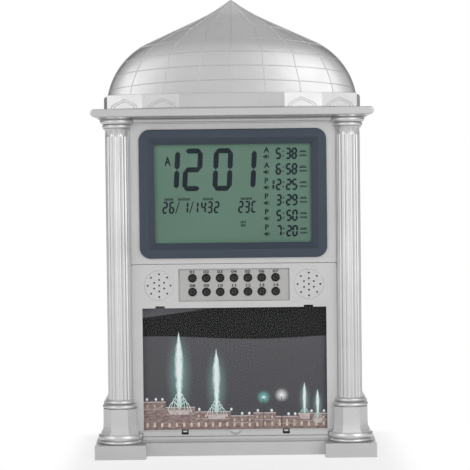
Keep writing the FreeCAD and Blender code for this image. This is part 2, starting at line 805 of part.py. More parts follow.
def battery_bay():
    """Box of the battery bay inside the back wall, with cradle ribs on its floor."""
    box = block(-bay_half - bay_wall, bay_half + bay_wall, bay_floor_y - bay_wall,
                back_inner_y + 0.5, bay_centre_z - bay_half_z - bay_wall,
                bay_centre_z + bay_half_z + bay_wall)
    room = block(-bay_half, bay_half, bay_floor_y, back_y + 1,
                 bay_centre_z - bay_half_z, bay_centre_z + bay_half_z)
    half, low, high = door_opening(0.0)
    seat_y = back_y - door_thickness - move_gap
    rim = block(-half - case_wall, half + case_wall, seat_y - bay_wall, back_inner_y + 0.5,
                low - case_wall, high + case_wall)
    return joined([box, rim]), room


def rear_housing():
    """Rear shell: back wall and sides, dome back, battery bay, hangers and screw posts."""
    rear_half = drum_half + rear_drum_overhang
    corner = rear_drum_corner
    bend = corner * (1 - math.sqrt(0.5))

    def drum_back(inset, low, high, y0, y1):
        x = rear_half - inset
        steps = [(x, low), (x, high - corner), ((x - bend, high - bend), (x - corner, high)),
                 (0.0, high)]
        return outline_prism((0.0, low), steps, y0, y1)

    outer = joined([case_prism(parting_y, back_y),
                    drum_back(0.0, cornice_top - 1, drum_top - 0.2, parting_y, back_y),
                    dome_prism(dome_half, dome_height, drum_top, parting_y, back_y),
                    block(-dome_half, dome_half, parting_y, back_y, cornice_top, drum_top)])
    cavity = joined([
        case_cavity(parting_y - 1, back_inner_y, cornice_top - case_wall),
        block(-body_half + 3 * case_wall, body_half - 3 * case_wall, parting_y - 1, back_inner_y,
              cornice_top - 3 * case_wall, drum_top + 1),
        dome_prism(dome_half - case_wall, dome_height - 1.25 * case_wall, drum_top,
                   parting_y - 1, back_inner_y, True)])
    bay, bay_room = battery_bay()
    posts = case_posts() + [(0.0, drum_top + dome_post_rise)]
    columns = [rod_y(x, z, post_radius + rear_post_extra, parting_y, back_inner_y + 0.5)
               for x, z in posts]
    hangers = [block(side * keyhole_x - hanger_pad, side * keyhole_x + hanger_pad,
                     back_inner_y - hanger_pad_thickness, back_inner_y + 0.5,
                     keyhole_z - hanger_pad, keyhole_z + keyhole_rise + hanger_pad - 2)
               for side in (-1, 1)]
    lift = block(-column_x + plinth_inner_reach, column_x - plinth_inner_reach, parting_y - 1,
                 back_y + 1, -1, foot_lift)
    shell = joined([outer.cut([cavity, lift]), bay] + columns + hangers)
    half, low, high = door_opening(0.0)
    door_room = block(-half, half, back_y - door_thickness - move_gap, back_y + 1, low, high)
    axis_y, axis_z = hinge_axis()
    hinge_blocks = [block(side * half - (hinge_boss if side > 0 else 0),
                          side * half + (hinge_boss if side < 0 else 0),
                          axis_y - 1.5 * hinge_boss_reach, back_y, axis_z - hinge_boss_reach,
                          high + 0.5)
                    for side in (-1, 1)]
    counterbores = [rod_y(x, z, screw_head_radius + head_gap, parting_y + screw_floor, back_y + 1)
                    for x, z in posts]
    clearance = [rod_y(x, z, screw_radius + case_screw_gap, parting_y - 1, back_y + 1) for x, z in posts]
    shell = shell.cut([bay_room, door_room] + keyhole() + counterbores + clearance)
    pin_hole = rod_x(axis_y, axis_z, door_pin_radius + pin_gap, -half - 1, half + 1)
    barrel_room = rod_x(axis_y, axis_z, door_thickness / 2 + move_gap,
                        -half + hinge_boss, half - hinge_boss)
    return joined([shell] + hinge_blocks).cut([pin_hole, barrel_room])


parts["rear_housing"] = rear_housing()

# ---------------------------------------------------------------- fascias


def upper_fascia():
    """Panel round the display."""
    low = split_z + seat_gap
    high = bed_bottom - seat_gap
    panel = block(-fascia_half, fascia_half, panel_y, panel_back_y, low, high)
    hole = rounded_plate(0, bezel_z, bezel_width - 2 * bezel_lip + 2 * seat_gap,
                         bezel_height - 2 * bezel_lip + 2 * seat_gap,
                         bezel_corner - bezel_lip + seat_gap, panel_y - 1, panel_back_y + 1)
    return panel.cut(hole)


def grille_holes(x):
    """Drillings of one speaker grille."""
    holes = []
    for count, radius in zip(grille_counts, grille_radii):
        for k in range(count):
            angle = math.pi / 2 + 2 * math.pi * k / count
            holes.append(faceted_rod_y(x + radius * math.cos(angle),
                                       keypad_z + radius * math.sin(angle), grille_hole_radius,
                                       grille_hole_sides, panel_y - 2, panel_back_y + 1))
    return holes


def lower_fascia():
    """Panel with the keypad recess, both speaker grilles and the picture window."""
    low = sill_top - fascia_tuck
    high = split_z - seat_gap
    panel = block(-fascia_half, fascia_half, panel_y, panel_back_y, low, high)
    corners = [e for e in panel.Edges
               if e.CenterOfMass.z > high - 1e-6 and abs(e.CenterOfMass.x) > fascia_half - 1e-6]
    panel = panel.makeFillet(fascia_corner, corners)
    discs = [Part.makeCone(grille_disc_radius, grille_disc_radius - grille_disc_height,
                           grille_disc_height, FreeCAD.Vector(side * speaker_x, panel_y, keypad_z),
                           FreeCAD.Vector(0, -1, 0)) for side in (-1, 1)]
    rings = []
    for side in (-1, 1):
        ring = rod_y(side * speaker_x, keypad_z, speaker_ring_outer, panel_back_y - 0.5,
                     panel_back_y + speaker_ring_height)
        bore = rod_y(side * speaker_x, keypad_z, speaker_radius + seat_gap, panel_back_y - 1,
                     panel_back_y + speaker_ring_height + 1)
        rings.append(ring.cut(bore))
    panel = joined([panel] + discs + rings)
    recess = rounded_plate(0, keypad_z, 2 * plate_half, plate_height, 0.5,
                           panel_y - 1, panel_back_y + 1)
    window = block(-window_half, window_half, panel_y - 1, panel_back_y + 1,
                   window_bottom, window_top)
    notches = [block(side * cover_hook_x - cover_hook_width / 2 - move_gap,
                     side * cover_hook_x + cover_hook_width / 2 + move_gap,
                     panel_y - 1, panel_back_y + 1, window_top - 0.1,
                     hook_notch_top) for side in (-1, 1)]
    sockets = [rod_x(cover_axis_y, cover_axis_z, cover_pin_radius + pin_gap,
                     side * cover_hook_x - cover_hook_width / 2 - cover_pin_length - move_gap,
                     side * cover_hook_x + cover_hook_width / 2 + cover_pin_length + move_gap)
               for side in (-1, 1)]
    slots = [block(side * cover_clip_x - clip_slot_width / 2,
                   side * cover_clip_x + clip_slot_width / 2, panel_y - 1, panel_back_y + 1,
                   window_bottom - clip_slot_drop + 0.01, window_bottom + 0.1) for side in (-1, 1)]
    return panel.cut([recess, window] + notches + sockets + slots + grille_holes(speaker_x)
                     + grille_holes(-speaker_x))


parts["upper_fascia"] = upper_fascia()
parts["lower_fascia"] = lower_fascia()

# ---------------------------------------------------------------- display


def display_bezel():
    """Frame round the display: flange on the fascia, plug through it, bevelled inner edge."""
    flange = rounded_plate(0, bezel_z, bezel_width, bezel_height, bezel_corner,
                           bezel_face_y, panel_y)
    rim = [e for e in flange.Edges
           if abs(e.CenterOfMass.y - bezel_face_y) < 1e-6]
    flange = flange.makeFillet(bezel_edge, rim)
    plug = rounded_plate(0, bezel_z, bezel_width - 2 * bezel_lip, bezel_height - 2 * bezel_lip,
                         bezel_corner - bezel_lip, panel_y - 1, panel_back_y)
    back = [view_width / 2, view_height / 2]
    front = [view_width / 2 + bezel_slope, view_height / 2 + bezel_slope]

    def corner_wire(half_x, half_z, y):
        points = [FreeCAD.Vector(sx * half_x, y, bezel_z + sz * half_z)
                  for sx, sz in ((-1, -1), (1, -1), (1, 1), (-1, 1))]
        return Part.makePolygon(points + points[:1])

    bevel = Part.makeLoft([corner_wire(front[0], front[1], bezel_face_y),
                           corner_wire(back[0], back[1], panel_back_y - bezel_mouth_land)], True, True)
    mouth = block(-back[0], back[0], bezel_face_y - 1, panel_back_y + 1,
                  bezel_z - back[1], bezel_z + back[1])
    pilots = [rod_y(x, z, small_screw_radius + thread_gap, panel_back_y - board_screw_bite - 0.4,
                    panel_back_y + 1)
              for x, z in holder_screws()]
    return joined([flange, plug]).cut([bevel, mouth] + pilots)


def holder_screws():
    """Axes (x, z) of the screws that clamp board, holder and bezel together."""
    x = lcd_half + holder_screw_out
    z = bezel_height / 2 - holder_screw_inset
    return [(sx * x, bezel_z + sz * z) for sx in (-1, 1) for sz in (-1, 1)]


def lcd_holder():
    """Frame that clamps the window, the glass and the contact strips against the bezel."""
    frame = block(-holder_half, holder_half, panel_back_y, board_front_y,
                  bezel_z - holder_half_z, bezel_z + holder_half_z)
    room = block(-lcd_half - seat_gap, lcd_half + seat_gap, panel_back_y - 1, board_front_y + 1,
                 bezel_z - lcd_half_z - seat_gap, bezel_z + lcd_half_z + seat_gap)
    holes = [rod_y(x, z, small_screw_radius + screw_gap, panel_back_y - 1, board_front_y + 1)
             for x, z in holder_screws()]
    return frame.cut([room] + holes)


def main_board():
    """Circuit board behind the display."""
    half_x = holder_half - board_margin
    half_z = holder_half_z - board_margin
    board = block(-half_x, half_x, board_front_y, board_back_y, bezel_z - half_z, bezel_z + half_z)
    holes = [rod_y(x, z, small_screw_radius + screw_gap, board_front_y - 1, board_back_y + 1)
             for x, z in holder_screws()]
    return board.cut(holes)


def zebra_strips():
    """Elastomer strips that join the glass to the board, above and below the visible area."""
    strips = []
    for side in (-1, 1):
        centre = bezel_z + side * (lcd_half_z - zebra_width / 2 - 0.4)
        strips.append(block(-lcd_half + zebra_inset, lcd_half - zebra_inset, lcd_back_y, board_front_y,
                            centre - zebra_width / 2, centre + zebra_width / 2))
    return Part.makeCompound(strips)


def screw(x, z, radius, tip_y, head_y, head_radius, head_height):
    """Cheese-head screw driven from the back."""
    return turned([(radius, tip_y), (radius, head_y), (head_radius, head_y),
                   (head_radius, head_y + head_height), (0.0, head_y + head_height), (0.0, tip_y)],
                  (0.0, tip_y), FreeCAD.Vector(x, 0, z), (0, 1, 0))


def small_screw(x, z, head_y, tip_y):
    """Screw of a circuit board."""
    return screw(x, z, small_screw_radius, tip_y, head_y, small_head_radius, small_head_height)


def chip_blob():
    """Epoxy cap over the controller chip."""
    centre = FreeCAD.Vector(0, board_back_y, bezel_z + chip_rise)
    return turned([(chip_radius, 0.0),
                   ((chip_radius * 0.8, chip_height * 0.7), (chip_radius * 0.3, chip_height)),
                   (0.0, chip_height), (0.0, 0.0)], (0.0, 0.0), centre, (0, 1, 0))


parts["display_bezel"] = display_bezel()
parts["display_window"] = block(-lcd_half, lcd_half, panel_back_y, window_back_y,
                                bezel_z - lcd_half_z, bezel_z + lcd_half_z)
parts["lcd_glass"] = block(-lcd_half, lcd_half, window_back_y, lcd_back_y,
                           bezel_z - lcd_half_z, bezel_z + lcd_half_z)
parts["lcd_holder"] = lcd_holder()
parts["zebra_strips"] = zebra_strips()
parts["main_board"] = main_board()
parts["controller_chip"] = chip_blob()
parts["timing_crystal"] = rod_x(board_back_y + crystal_radius, bezel_z - crystal_drop,
                                crystal_radius, crystal_x, crystal_x + crystal_length)
parts["board_screws"] = Part.makeCompound(
    [small_screw(x, z, board_back_y, panel_back_y - board_screw_bite) for x, z in holder_screws()])

# ---------------------------------------------------------------- keypad


def key_places():
    """Axes (x, z) of the keys, row by row from the top left."""
    places = []
    for row in range(key_rows):
        for column_index in range(key_columns):
            places.append(((column_index - (key_columns - 1) / 2) * key_pitch,
                           keypad_z + ((key_rows - 1) / 2 - row) * key_pitch))
    return places


def keypad_screw_places():
    """Axes (x, z) of the screws that hold the keypad board to the key plate."""
    return [(side * (plate_half - keypad_screw_inset), keypad_z) for side in (-1, 1)]


def key_plate():
    """Recessed plate with the key holes, held by a flange behind the fascia."""
    raised = rounded_plate(0, keypad_z, 2 * (plate_half - seat_gap), plate_height - 2 * seat_gap,
                           0.5, plate_face_y, plate_back_y)
    flange = block(-plate_half - plate_flange, plate_half + plate_flange, panel_back_y,
                   plate_back_y, keypad_z - plate_height / 2 - plate_flange,
                   keypad_z + plate_height / 2 + plate_flange)
    holes = [rod_y(x, z, key_hole_radius, plate_face_y - 1, plate_back_y + 1)
             for x, z in key_places()]
    bosses = [rod_y(x, z, keypad_boss_radius, plate_back_y - 0.5, mat_front_y)
              for x, z in keypad_screw_places()]
    pilots = [rod_y(x, z, small_screw_radius + thread_gap, plate_face_y + keypad_screw_skin,
                    mat_front_y + 1)
              for x, z in keypad_screw_places()]
    return joined([raised, flange] + bosses).cut(holes + pilots)


def key(x, z):
    """Rubber key with a dished top and a collar behind the plate."""
    face = plate_face_y - key_stand
    centre = FreeCAD.Vector(x, 0, z)
    steps = [(key_dish_radius, face), (key_radius - key_bevel, face),
             (key_radius, face + key_bevel), (key_radius, collar_y), (key_collar_radius, collar_y),
             (key_collar_radius, key_back_y), (0.0, key_back_y), (0.0, face + key_dish)]
    return turned(steps, (0.0, face + key_dish), centre, (0, 1, 0))


def keypad_mat():
    """Rubber web behind the keys."""
    half = plate_half + plate_flange - mat_margin
    half_z = plate_height / 2 + plate_flange - mat_margin
    web = block(-half, half, mat_front_y, mat_back_y, keypad_z - half_z, keypad_z + half_z)
    holes = [rod_y(x, z, small_screw_radius + screw_gap, mat_front_y - 1, mat_back_y + 1)
             for x, z in keypad_screw_places()]
    return web.cut(holes)


def keypad_board():
    """Circuit board that the keys press on."""
    half = plate_half + plate_flange - mat_margin
    half_z = plate_height / 2 + plate_flange - mat_margin
    board = block(-half, half, mat_back_y, keypad_board_back_y, keypad_z - half_z, keypad_z + half_z)
    holes = [rod_y(x, z, small_screw_radius + screw_gap, mat_back_y - 1, keypad_board_back_y + 1)
             for x, z in keypad_screw_places()]
    return board.cut(holes)


def ribbon():
    """Flat cable from the main board's lower edge to the keypad board's upper edge."""
    high = bezel_z - holder_half_z + board_margin
    low = keypad_z + plate_height / 2 + plate_flange - mat_margin
    back = max(board_back_y, keypad_board_back_y) + ribbon_stand
    t = ribbon_thickness
    outer = [(board_back_y, high + ribbon_lap), (board_back_y, high), (back - t, high - 2.0),
             (back - t, low + 2.0), (keypad_board_back_y, low), (keypad_board_back_y, low - ribbon_lap),
             (keypad_board_back_y + t, low - ribbon_lap), (keypad_board_back_y + t, low - 0.2),
             (back, low + 1.8), (back, high - 1.8), (board_back_y + t, high + 0.2),
             (board_back_y + t, high + ribbon_lap)]
    return section_bar(outer, -ribbon_width / 2, ribbon_width / 2)


parts["key_plate"] = key_plate()
for number, (key_x, key_z) in enumerate(key_places(), start=1):
    parts["key_%d" % number] = key(key_x, key_z)
parts["keypad_mat"] = keypad_mat()
parts["keypad_board"] = keypad_board()
parts["keypad_ribbon"] = ribbon()
parts["keypad_screws"] = Part.makeCompound(
    [small_screw(x, z, keypad_board_back_y,
                 plate_face_y + keypad_screw_skin + 0.4) for x, z in keypad_screw_places()])

# ---------------------------------------------------------------- speakers


def speaker_frame(x):
    """Steel basket with its magnet pot."""
    centre = FreeCAD.Vector(x, panel_back_y, keypad_z)
    throat = speaker_flange + speaker_cone_depth
    steps = [(speaker_radius, 0.0), (speaker_radius, speaker_flange),
             (speaker_radius - 1.0, speaker_flange), (magnet_radius, throat),
             (magnet_radius, throat + magnet_height), (0.0, throat + magnet_height),
             (0.0, throat - 0.4), (magnet_radius - 0.9, throat - 0.4),
             (speaker_radius - speaker_rim, speaker_flange), (speaker_radius - speaker_rim, 0.0)]
    return turned(steps, (speaker_radius - speaker_rim, 0.0), centre, (0, 1, 0))


def speaker_cone(x):
    """Paper cone with a dust cap."""
    centre = FreeCAD.Vector(x, panel_back_y, keypad_z)
    rim = speaker_radius - speaker_rim - 0.2
    throat = speaker_cone_depth - 0.2
    steps = [(2.0, throat), ((1.3, throat - 0.5), (0.5, throat - 0.7)), (0.0, throat - 0.7),
             (0.0, throat + 0.4), (2.2, throat + 0.4), (rim, 0.6), (rim, 0.2)]
    return turned(steps, (rim, 0.2), centre, (0, 1, 0))


for side_name, side_sign in (("left", -1), ("right", 1)):
    parts[side_name + "_speaker_frame"] = speaker_frame(side_sign * speaker_x)
    parts[side_name + "_speaker_cone"] = speaker_cone(side_sign * speaker_x)

# ---------------------------------------------------------------- picture window


def picture_cover():
    """Clear cover: hinged on pinned hooks at the top, with two clip tongues in the sill slots."""
    low = window_bottom + move_gap
    high = window_top - cover_top_gap
    round_radius = cover_thickness / 2
    half = window_half - move_gap
    sheet = block(-half, half, cover_front_y, cover_back_y, low, high - round_radius)
    top_edge = rod_x(cover_front_y + round_radius, high - round_radius, round_radius, -half, half)
    hooks = []
    for side in (-1, 1):
        x0 = side * cover_hook_x - cover_hook_width / 2
        x1 = x0 + cover_hook_width
        hooks.append(block(x0, x1, cover_axis_y - cover_hook_thickness / 2,
                           cover_axis_y + cover_hook_thickness / 2, high - 1, cover_axis_z))
        hooks.append(rod_x(cover_axis_y, cover_axis_z, cover_pin_radius,
                           x0 - cover_pin_length, x1 + cover_pin_length))
    clips = [block(side * cover_clip_x - cover_clip_width / 2,
                   side * cover_clip_x + cover_clip_width / 2,
                   cover_front_y, cover_front_y + cover_clip_thickness,
                   low - cover_clip_drop, low + 0.5)
             for side in (-1, 1)]
    return joined([sheet, top_edge] + hooks + clips)


def picture_tray():
    """Moulded tray behind the window that holds the card."""
    half = window_half + card_overlap + card_gap
    low = window_bottom - card_overlap - card_gap
    high = window_top + card_overlap + card_gap
    tray = block(-half - tray_wall, half + tray_wall, panel_back_y, tray_floor_y + tray_floor,
                 low - tray_wall_z, high + tray_wall_z)
    room = block(-half, half, panel_back_y - 1, tray_floor_y, low, high)
    return tray.cut(room)


parts["picture_cover"] = picture_cover()
parts["picture_card"] = block(-window_half - card_overlap, window_half + card_overlap,
                              tray_floor_y - card_thickness, tray_floor_y,
                              window_bottom - card_overlap, window_top + card_overlap)
parts["picture_tray"] = picture_tray()

# ---------------------------------------------------------------- battery bay contents


def battery_door():
    """Door over the battery bay: plate with a rounded hinged upper edge and a thumb pull."""
    half, low, high = door_opening(move_gap)
    axis_y, axis_z = hinge_axis()
    barrel_half = half - hinge_boss
    shoulder = axis_z - hinge_boss_reach - 0.5
    plate = block(-half, half, back_y - door_thickness, back_y, low, shoulder)
    upper = block(-barrel_half, barrel_half, back_y - door_thickness, back_y,
                  shoulder - 0.5, axis_z)
    barrel = rod_x(axis_y, axis_z, door_thickness / 2, -barrel_half, barrel_half)
    pins = rod_x(axis_y, axis_z, door_pin_radius, -barrel_half - door_pin_length,
                 barrel_half + door_pin_length)
    pull = rod_x(back_y + pull_radius - pull_depth, low + pull_rise, pull_radius,
                 -pull_half, pull_half)
    return joined([plate, upper, barrel, pins]).cut(pull)


def battery_cell(z, direction):
    """Round cell with its nub towards +X or -X."""
    body_start = -(cell_body + cell_nub) / 2
    body = rod_x(cell_y, z, cell_radius, body_start, body_start + cell_body)
    nub = rod_x(cell_y, z, cell_nub_radius, body_start + cell_body - 0.1,
                body_start + cell_body + cell_nub)
    cell = joined([body, nub])
    if direction < 0:
        cell = cell.mirror(FreeCAD.Vector(0, 0, 0), FreeCAD.Vector(1, 0, 0))
    return cell


def cell_rows():
    """Level and direction of each cell."""
    return [(bay_centre_z + (k - (cells - 1) / 2) * cell_pitch, 1 if k % 2 == 0 else -1)
            for k in range(cells)]


def button_contact(z, direction):
    """Plate on the end wall with a raised button that meets the nub."""
    wall = bay_half
    plate = block(wall - contact_plate, wall, cell_y - contact_width / 2,
                  cell_y + contact_width / 2, z - contact_width / 2, z + contact_width / 2)
    button = rod_x(cell_y, z, contact_button_radius, wall - contact_space, wall - contact_plate + 0.1)
    contact = joined([plate, button])
    return contact if direction > 0 else both_sides(contact)[1]


def leaf_contact(z, direction):
    """Plate on the end wall with a bowed leaf that presses on the flat end."""
    wall = bay_half
    tip = wall - contact_space + leaf_clearance
    reach = contact_width / 2
    edges = path_edges((wall, reach), [
        (wall, -reach), (wall - contact_plate, -reach),
        ((tip, 0.0), (wall - contact_plate, reach - 1.0)),
        (wall - contact_plate, reach)], lambda x, y: FreeCAD.Vector(x, cell_y + y, z - leaf_width / 2))
    edges.append(Part.LineSegment(edges[-1].Vertexes[-1].Point, edges[0].Vertexes[0].Point).toShape())
    leaf = Part.Face(Part.Wire(edges)).extrude(FreeCAD.Vector(0, 0, leaf_width))
    return leaf if direction < 0 else both_sides(leaf)[1]


parts["battery_door"] = battery_door()
parts["battery_cells"] = Part.makeCompound([battery_cell(z, way) for z, way in cell_rows()])
parts["button_contacts"] = Part.makeCompound([button_contact(z, way) for z, way in cell_rows()])
parts["leaf_contacts"] = Part.makeCompound([leaf_contact(z, way) for z, way in cell_rows()])

# ---------------------------------------------------------------- case screws


def case_screw(x, z):
    """Long screw from the rear shell's post into the front shell's post."""
    return screw(x, z, screw_radius, parting_y - screw_bite, parting_y + screw_floor,
                 screw_head_radius, screw_head_height)


parts["case_screws"] = Part.makeCompound(
    [case_screw(x, z) for x, z in case_posts() + [(0.0, drum_top + dome_post_rise)]])

# ---------------------------------------------------------------- export

os.makedirs("parts", exist_ok=True)
for node, shape in parts.items():
    shape.exportStep("parts/" + node + ".step")
    solids = len(shape.Solids)
    print("%-22s solids %d valid %s volume %.0f" % (node, solids, shape.isValid(), shape.Volume))
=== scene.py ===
from math import atan, cos, pi, radians, sin

import bpy
from mathutils import Matrix, Vector


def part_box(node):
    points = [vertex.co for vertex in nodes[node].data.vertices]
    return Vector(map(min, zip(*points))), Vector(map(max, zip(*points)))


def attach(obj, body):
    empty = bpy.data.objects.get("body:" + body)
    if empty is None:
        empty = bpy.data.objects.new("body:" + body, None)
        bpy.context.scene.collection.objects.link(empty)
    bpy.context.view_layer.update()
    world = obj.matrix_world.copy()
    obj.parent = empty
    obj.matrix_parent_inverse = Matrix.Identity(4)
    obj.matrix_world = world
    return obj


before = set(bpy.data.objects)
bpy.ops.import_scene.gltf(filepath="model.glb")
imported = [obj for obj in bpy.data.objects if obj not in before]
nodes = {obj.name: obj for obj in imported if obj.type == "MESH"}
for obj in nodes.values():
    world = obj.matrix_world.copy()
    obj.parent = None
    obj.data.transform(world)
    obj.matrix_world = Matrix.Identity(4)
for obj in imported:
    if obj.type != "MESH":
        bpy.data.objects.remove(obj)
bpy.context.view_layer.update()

# ---- rear housing and battery door
# The back half of the case and its battery door: grey plastic, injection moulded with a fine
# spark-eroded grain. Seven long screws pull the housing onto the front one.

REAR_GREY = ((0.30, 0.30, 0.31, 1), (0.36, 0.36, 0.37, 1))
REAR_GRAIN = 4200.0  # grains per metre
REAR_RELIEF = 0.00004
CLOUDS = 28.0  # clouded patches per metre
RUBS = 260.0  # rubbed patches per metre
RUBBED = (0.995, 0.85)  # cosine of an edge's turn where rubbing starts and where it is full


def feed(tree, node, inputs):
    """A value or a link for each named input of a shader node."""
    for socket, value in inputs.items():
        if isinstance(value, bpy.types.NodeSocket):
            tree.links.new(value, node.inputs[socket])
        else:
            node.inputs[socket].default_value = value


def add_node(tree, kind, settings=None, inputs=None):
    """One shader node with its settings and its inputs."""
    node = tree.nodes.new("ShaderNode" + kind)
    for setting, value in (settings or {}).items():
        setattr(node, setting, value)
    feed(tree, node, inputs or {})
    return node


def sums(tree, operation, first, second=0.0):
    """Result of one Math node."""
    return add_node(tree, "Math", {"operation": operation}, {0: first, 1: second}).outputs[0]


def times(tree, first, second):
    """Product of two values."""
    return sums(tree, "MULTIPLY", first, second)


def vectors(tree, operation, first, second=(0.0, 0.0, 0.0), output="Vector"):
    """Result of one Vector Math node."""
    return add_node(tree, "VectorMath", {"operation": operation},
                    {0: first, 1: second}).outputs[output]


def noise(tree, place, scale, detail=2.0, roughness=0.5):
    """A cloudy pattern with so many patches per metre."""
    return add_node(tree, "TexNoise", {}, {"Vector": place, "Scale": scale, "Detail": detail,
                                           "Roughness": roughness}).outputs[0]


def mapped(tree, value, low, high, first=0.0, last=1.0, soft=False):
    """A value carried from one range over to another, with soft ends where asked."""
    return add_node(tree, "MapRange", {"interpolation_type": "SMOOTHSTEP" if soft else "LINEAR"},
                    {"Value": value, "From Min": low, "From Max": high, "To Min": first,
                     "To Max": last}).outputs[0]


def bumps(tree, height, distance, strength=1.0, under=None):
    """Normal of a fine relief, over another normal where one is given."""
    inputs = {"Strength": strength, "Distance": distance, "Height": height}
    if under is not None:
        inputs["Normal"] = under
    return add_node(tree, "Bump", {}, inputs).outputs[0]


def two_tones(tree, share, tones, ends=(0.0, 1.0)):
    """Colour that runs from one tone to the other between two shares."""
    ramp = add_node(tree, "ValToRGB", {}, {"Fac": share})
    for stop, tone, end in zip(ramp.color_ramp.elements, tones, ends):
        stop.position = end
        stop.color = tone
    return ramp.outputs[0]


def new_material(name):
    """A new material with its node tree and its shader."""
    material = bpy.data.materials.new(name)
    material.use_nodes = True
    return material, material.node_tree, material.node_tree.nodes["Principled BSDF"]


def object_place(tree):
    """The place on the clock that every pattern follows."""
    return add_node(tree, "TexCoord").outputs["Object"]


def moulded_skin():
    """Shared surface of moulded pieces: soft edges, fine grain, faint clouding and rubbed edges."""
    tree = bpy.data.node_groups.new("moulded skin", "ShaderNodeTree")
    for title, value in (("Grain", 3000.0), ("Relief", 0.00004), ("Edge", 0.0004)):
        socket = tree.interface.new_socket(title, in_out="INPUT", socket_type="NodeSocketFloat")
        socket.default_value = value
    for title, kind in (("Clouding", "Float"), ("Rubbing", "Float"), ("Normal", "Vector")):
        tree.interface.new_socket(title, in_out="OUTPUT", socket_type="NodeSocket" + kind)
    given = tree.nodes.new("NodeGroupInput").outputs
    place = object_place(tree)
    grain = noise(tree, place, given["Grain"], roughness=0.6)
    soft = add_node(tree, "Bevel", {"samples": 4}, {"Radius": given["Edge"]}).outputs[0]
    face = add_node(tree, "NewGeometry").outputs["Normal"]
    edge = mapped(tree, vectors(tree, "DOT_PRODUCT", soft, face, "Value"), *RUBBED)
    feed(tree, tree.nodes.new("NodeGroupOutput"), {
        "Clouding": noise(tree, place, CLOUDS, detail=4.0),
        "Rubbing": times(tree, edge, noise(tree, place, RUBS, detail=3.0)),
        "Normal": bumps(tree, grain, given["Relief"], under=soft)})
    return tree


SKIN = moulded_skin()


def moulded(name, tones, roughness, grain, relief, edge=0.0004, metallic=0.0, specular=0.5):
    """Material of a moulded piece: its two tones, its gloss range and its grain."""
    material, tree, shader = new_material(name)
    skin = add_node(tree, "Group", {"node_tree": SKIN},
                    {"Grain": grain, "Relief": relief, "Edge": edge}).outputs
    wear = sums(tree, "ADD", skin["Clouding"], times(tree, skin["Rubbing"], 0.5))
    feed(tree, shader, {"Base Color": two_tones(tree, wear, tones, (0.3, 0.75)),
                        "Roughness": mapped(tree, wear, 0.3, 0.8, roughness[1], roughness[0]),
                        "Normal": skin["Normal"], "Metallic": metallic,
                        "Specular IOR Level": specular})
    return material


def dress(material, slot, *names):
    """Give CAD nodes their material; the slot is not used."""
    for name in names:
        nodes[name].data.materials.clear()
        nodes[name].data.materials.append(material)


rear_plastic = moulded("rear plastic", REAR_GREY, (0.42, 0.56), REAR_GRAIN, REAR_RELIEF)
dress(rear_plastic, "case_back", "rear_housing", "battery_door")

# ---- battery cells and contacts
# Three round cells in printed steel jackets lie side by side in the bay. Pressed spring-steel
# leaves and buttons, nickel plated, close the circuit at their ends.

CELL_TONES = ((0.02, 0.05, 0.14, 1), (0.03, 0.08, 0.20, 1))
STEEL_TONES = ((0.46, 0.46, 0.45, 1), (0.60, 0.60, 0.58, 1))


def plated_steel(name, tones, brushing):
    """Bright plated steel with fine brushing along X."""
    material, tree, shader = new_material(name)
    stretched = add_node(tree, "Mapping", {}, {"Vector": object_place(tree),
                                               "Scale": (0.08, 1.0, 1.0)}).outputs[0]
    lines = noise(tree, stretched, brushing, detail=3.0)
    feed(tree, shader, {"Base Color": two_tones(tree, lines, tones),
                        "Roughness": mapped(tree, lines, 0.0, 1.0, 0.2, 0.42),
                        "Normal": bumps(tree, lines, 0.00002, 0.4), "Metallic": 1.0})
    return material


jacket = moulded("cell jacket", CELL_TONES, (0.25, 0.4), 1500.0, 0.00001)
dress(jacket, "cell_jacket", "battery_cells")
steel = plated_steel("plated steel", STEEL_TONES, 5200.0)
dress(steel, "steel", "button_contacts", "leaf_contacts", "case_screws", "board_screws",
      "keypad_screws", "timing_crystal", "left_speaker_frame", "right_speaker_frame")

# ---- front housing and columns
# The front half of the case with its plinths and cornice, the two half columns, the drum and the
# dome: moulded plastic sprayed with a satin silver paint, whose fine flake shows in the light.

SILVER = ((0.50, 0.50, 0.505, 1), (0.56, 0.56, 0.565, 1))
COLUMN_SILVER = ((0.55, 0.55, 0.555, 1), (0.62, 0.62, 0.625, 1))
SATIN = (0.26, 0.36)
FLAKE = 5200.0  # flakes per metre
FLAKE_RELIEF = 0.00001
PAINT_METAL = 0.55

silver_paint = moulded("silver paint", SILVER, SATIN, FLAKE, FLAKE_RELIEF, metallic=PAINT_METAL)
dress(silver_paint, "case", "front_housing", "dome_drum", "dome_shell")
column_paint = moulded("column paint", COLUMN_SILVER, SATIN, FLAKE, FLAKE_RELIEF / 2,
                       edge=0.00015, metallic=PAINT_METAL)
dress(column_paint, "case", "left_column", "right_column")

# ---- ribs of the dome
# Thin raised ribs moulded on the dome: meridians that meet at the tip and rings that follow its
# flattened plan. They are sprayed with it.

DOME_AXIS_Y = -0.002
DOME_FOOT_Z = 0.2612
DOME_TIP_Z = 0.3275
MERIDIANS = (0.0, 1.066, 2.494, 5.236)  # slopes in plan from the middle one outwards
RING_LEVELS = (0.2704, 0.2808, 0.2910, 0.3011, 0.3121)
RING_DIP = 0.0075  # rings drop this far at the ends
PLAN_DEPTHS = ((0.2609, 0.262), (0.2810, 0.268), (0.2910, 0.298), (0.3010, 0.331),
               (0.3107, 0.466), (0.3164, 0.556), (0.3300, 0.700))  # depth over width, by height
RIB_STEPS = 56
RING_TURNS = range(-80, 81, 4)  # degrees round the dome
RIB_WIDTH = 0.00058
RIB_THICKNESS = 0.00070  # half of it stands proud
RIB_ROUNDING = 0.3  # over the thickness
LOOK_FROM = (0.15, DOME_AXIS_Y + 0.0005)  # beside the dome, just off the seam on its axis
LAY_FROM_Y = -0.060  # in front of all of the clock
LAY_MISSED = 0.002  # a point that has come less far found nothing behind it


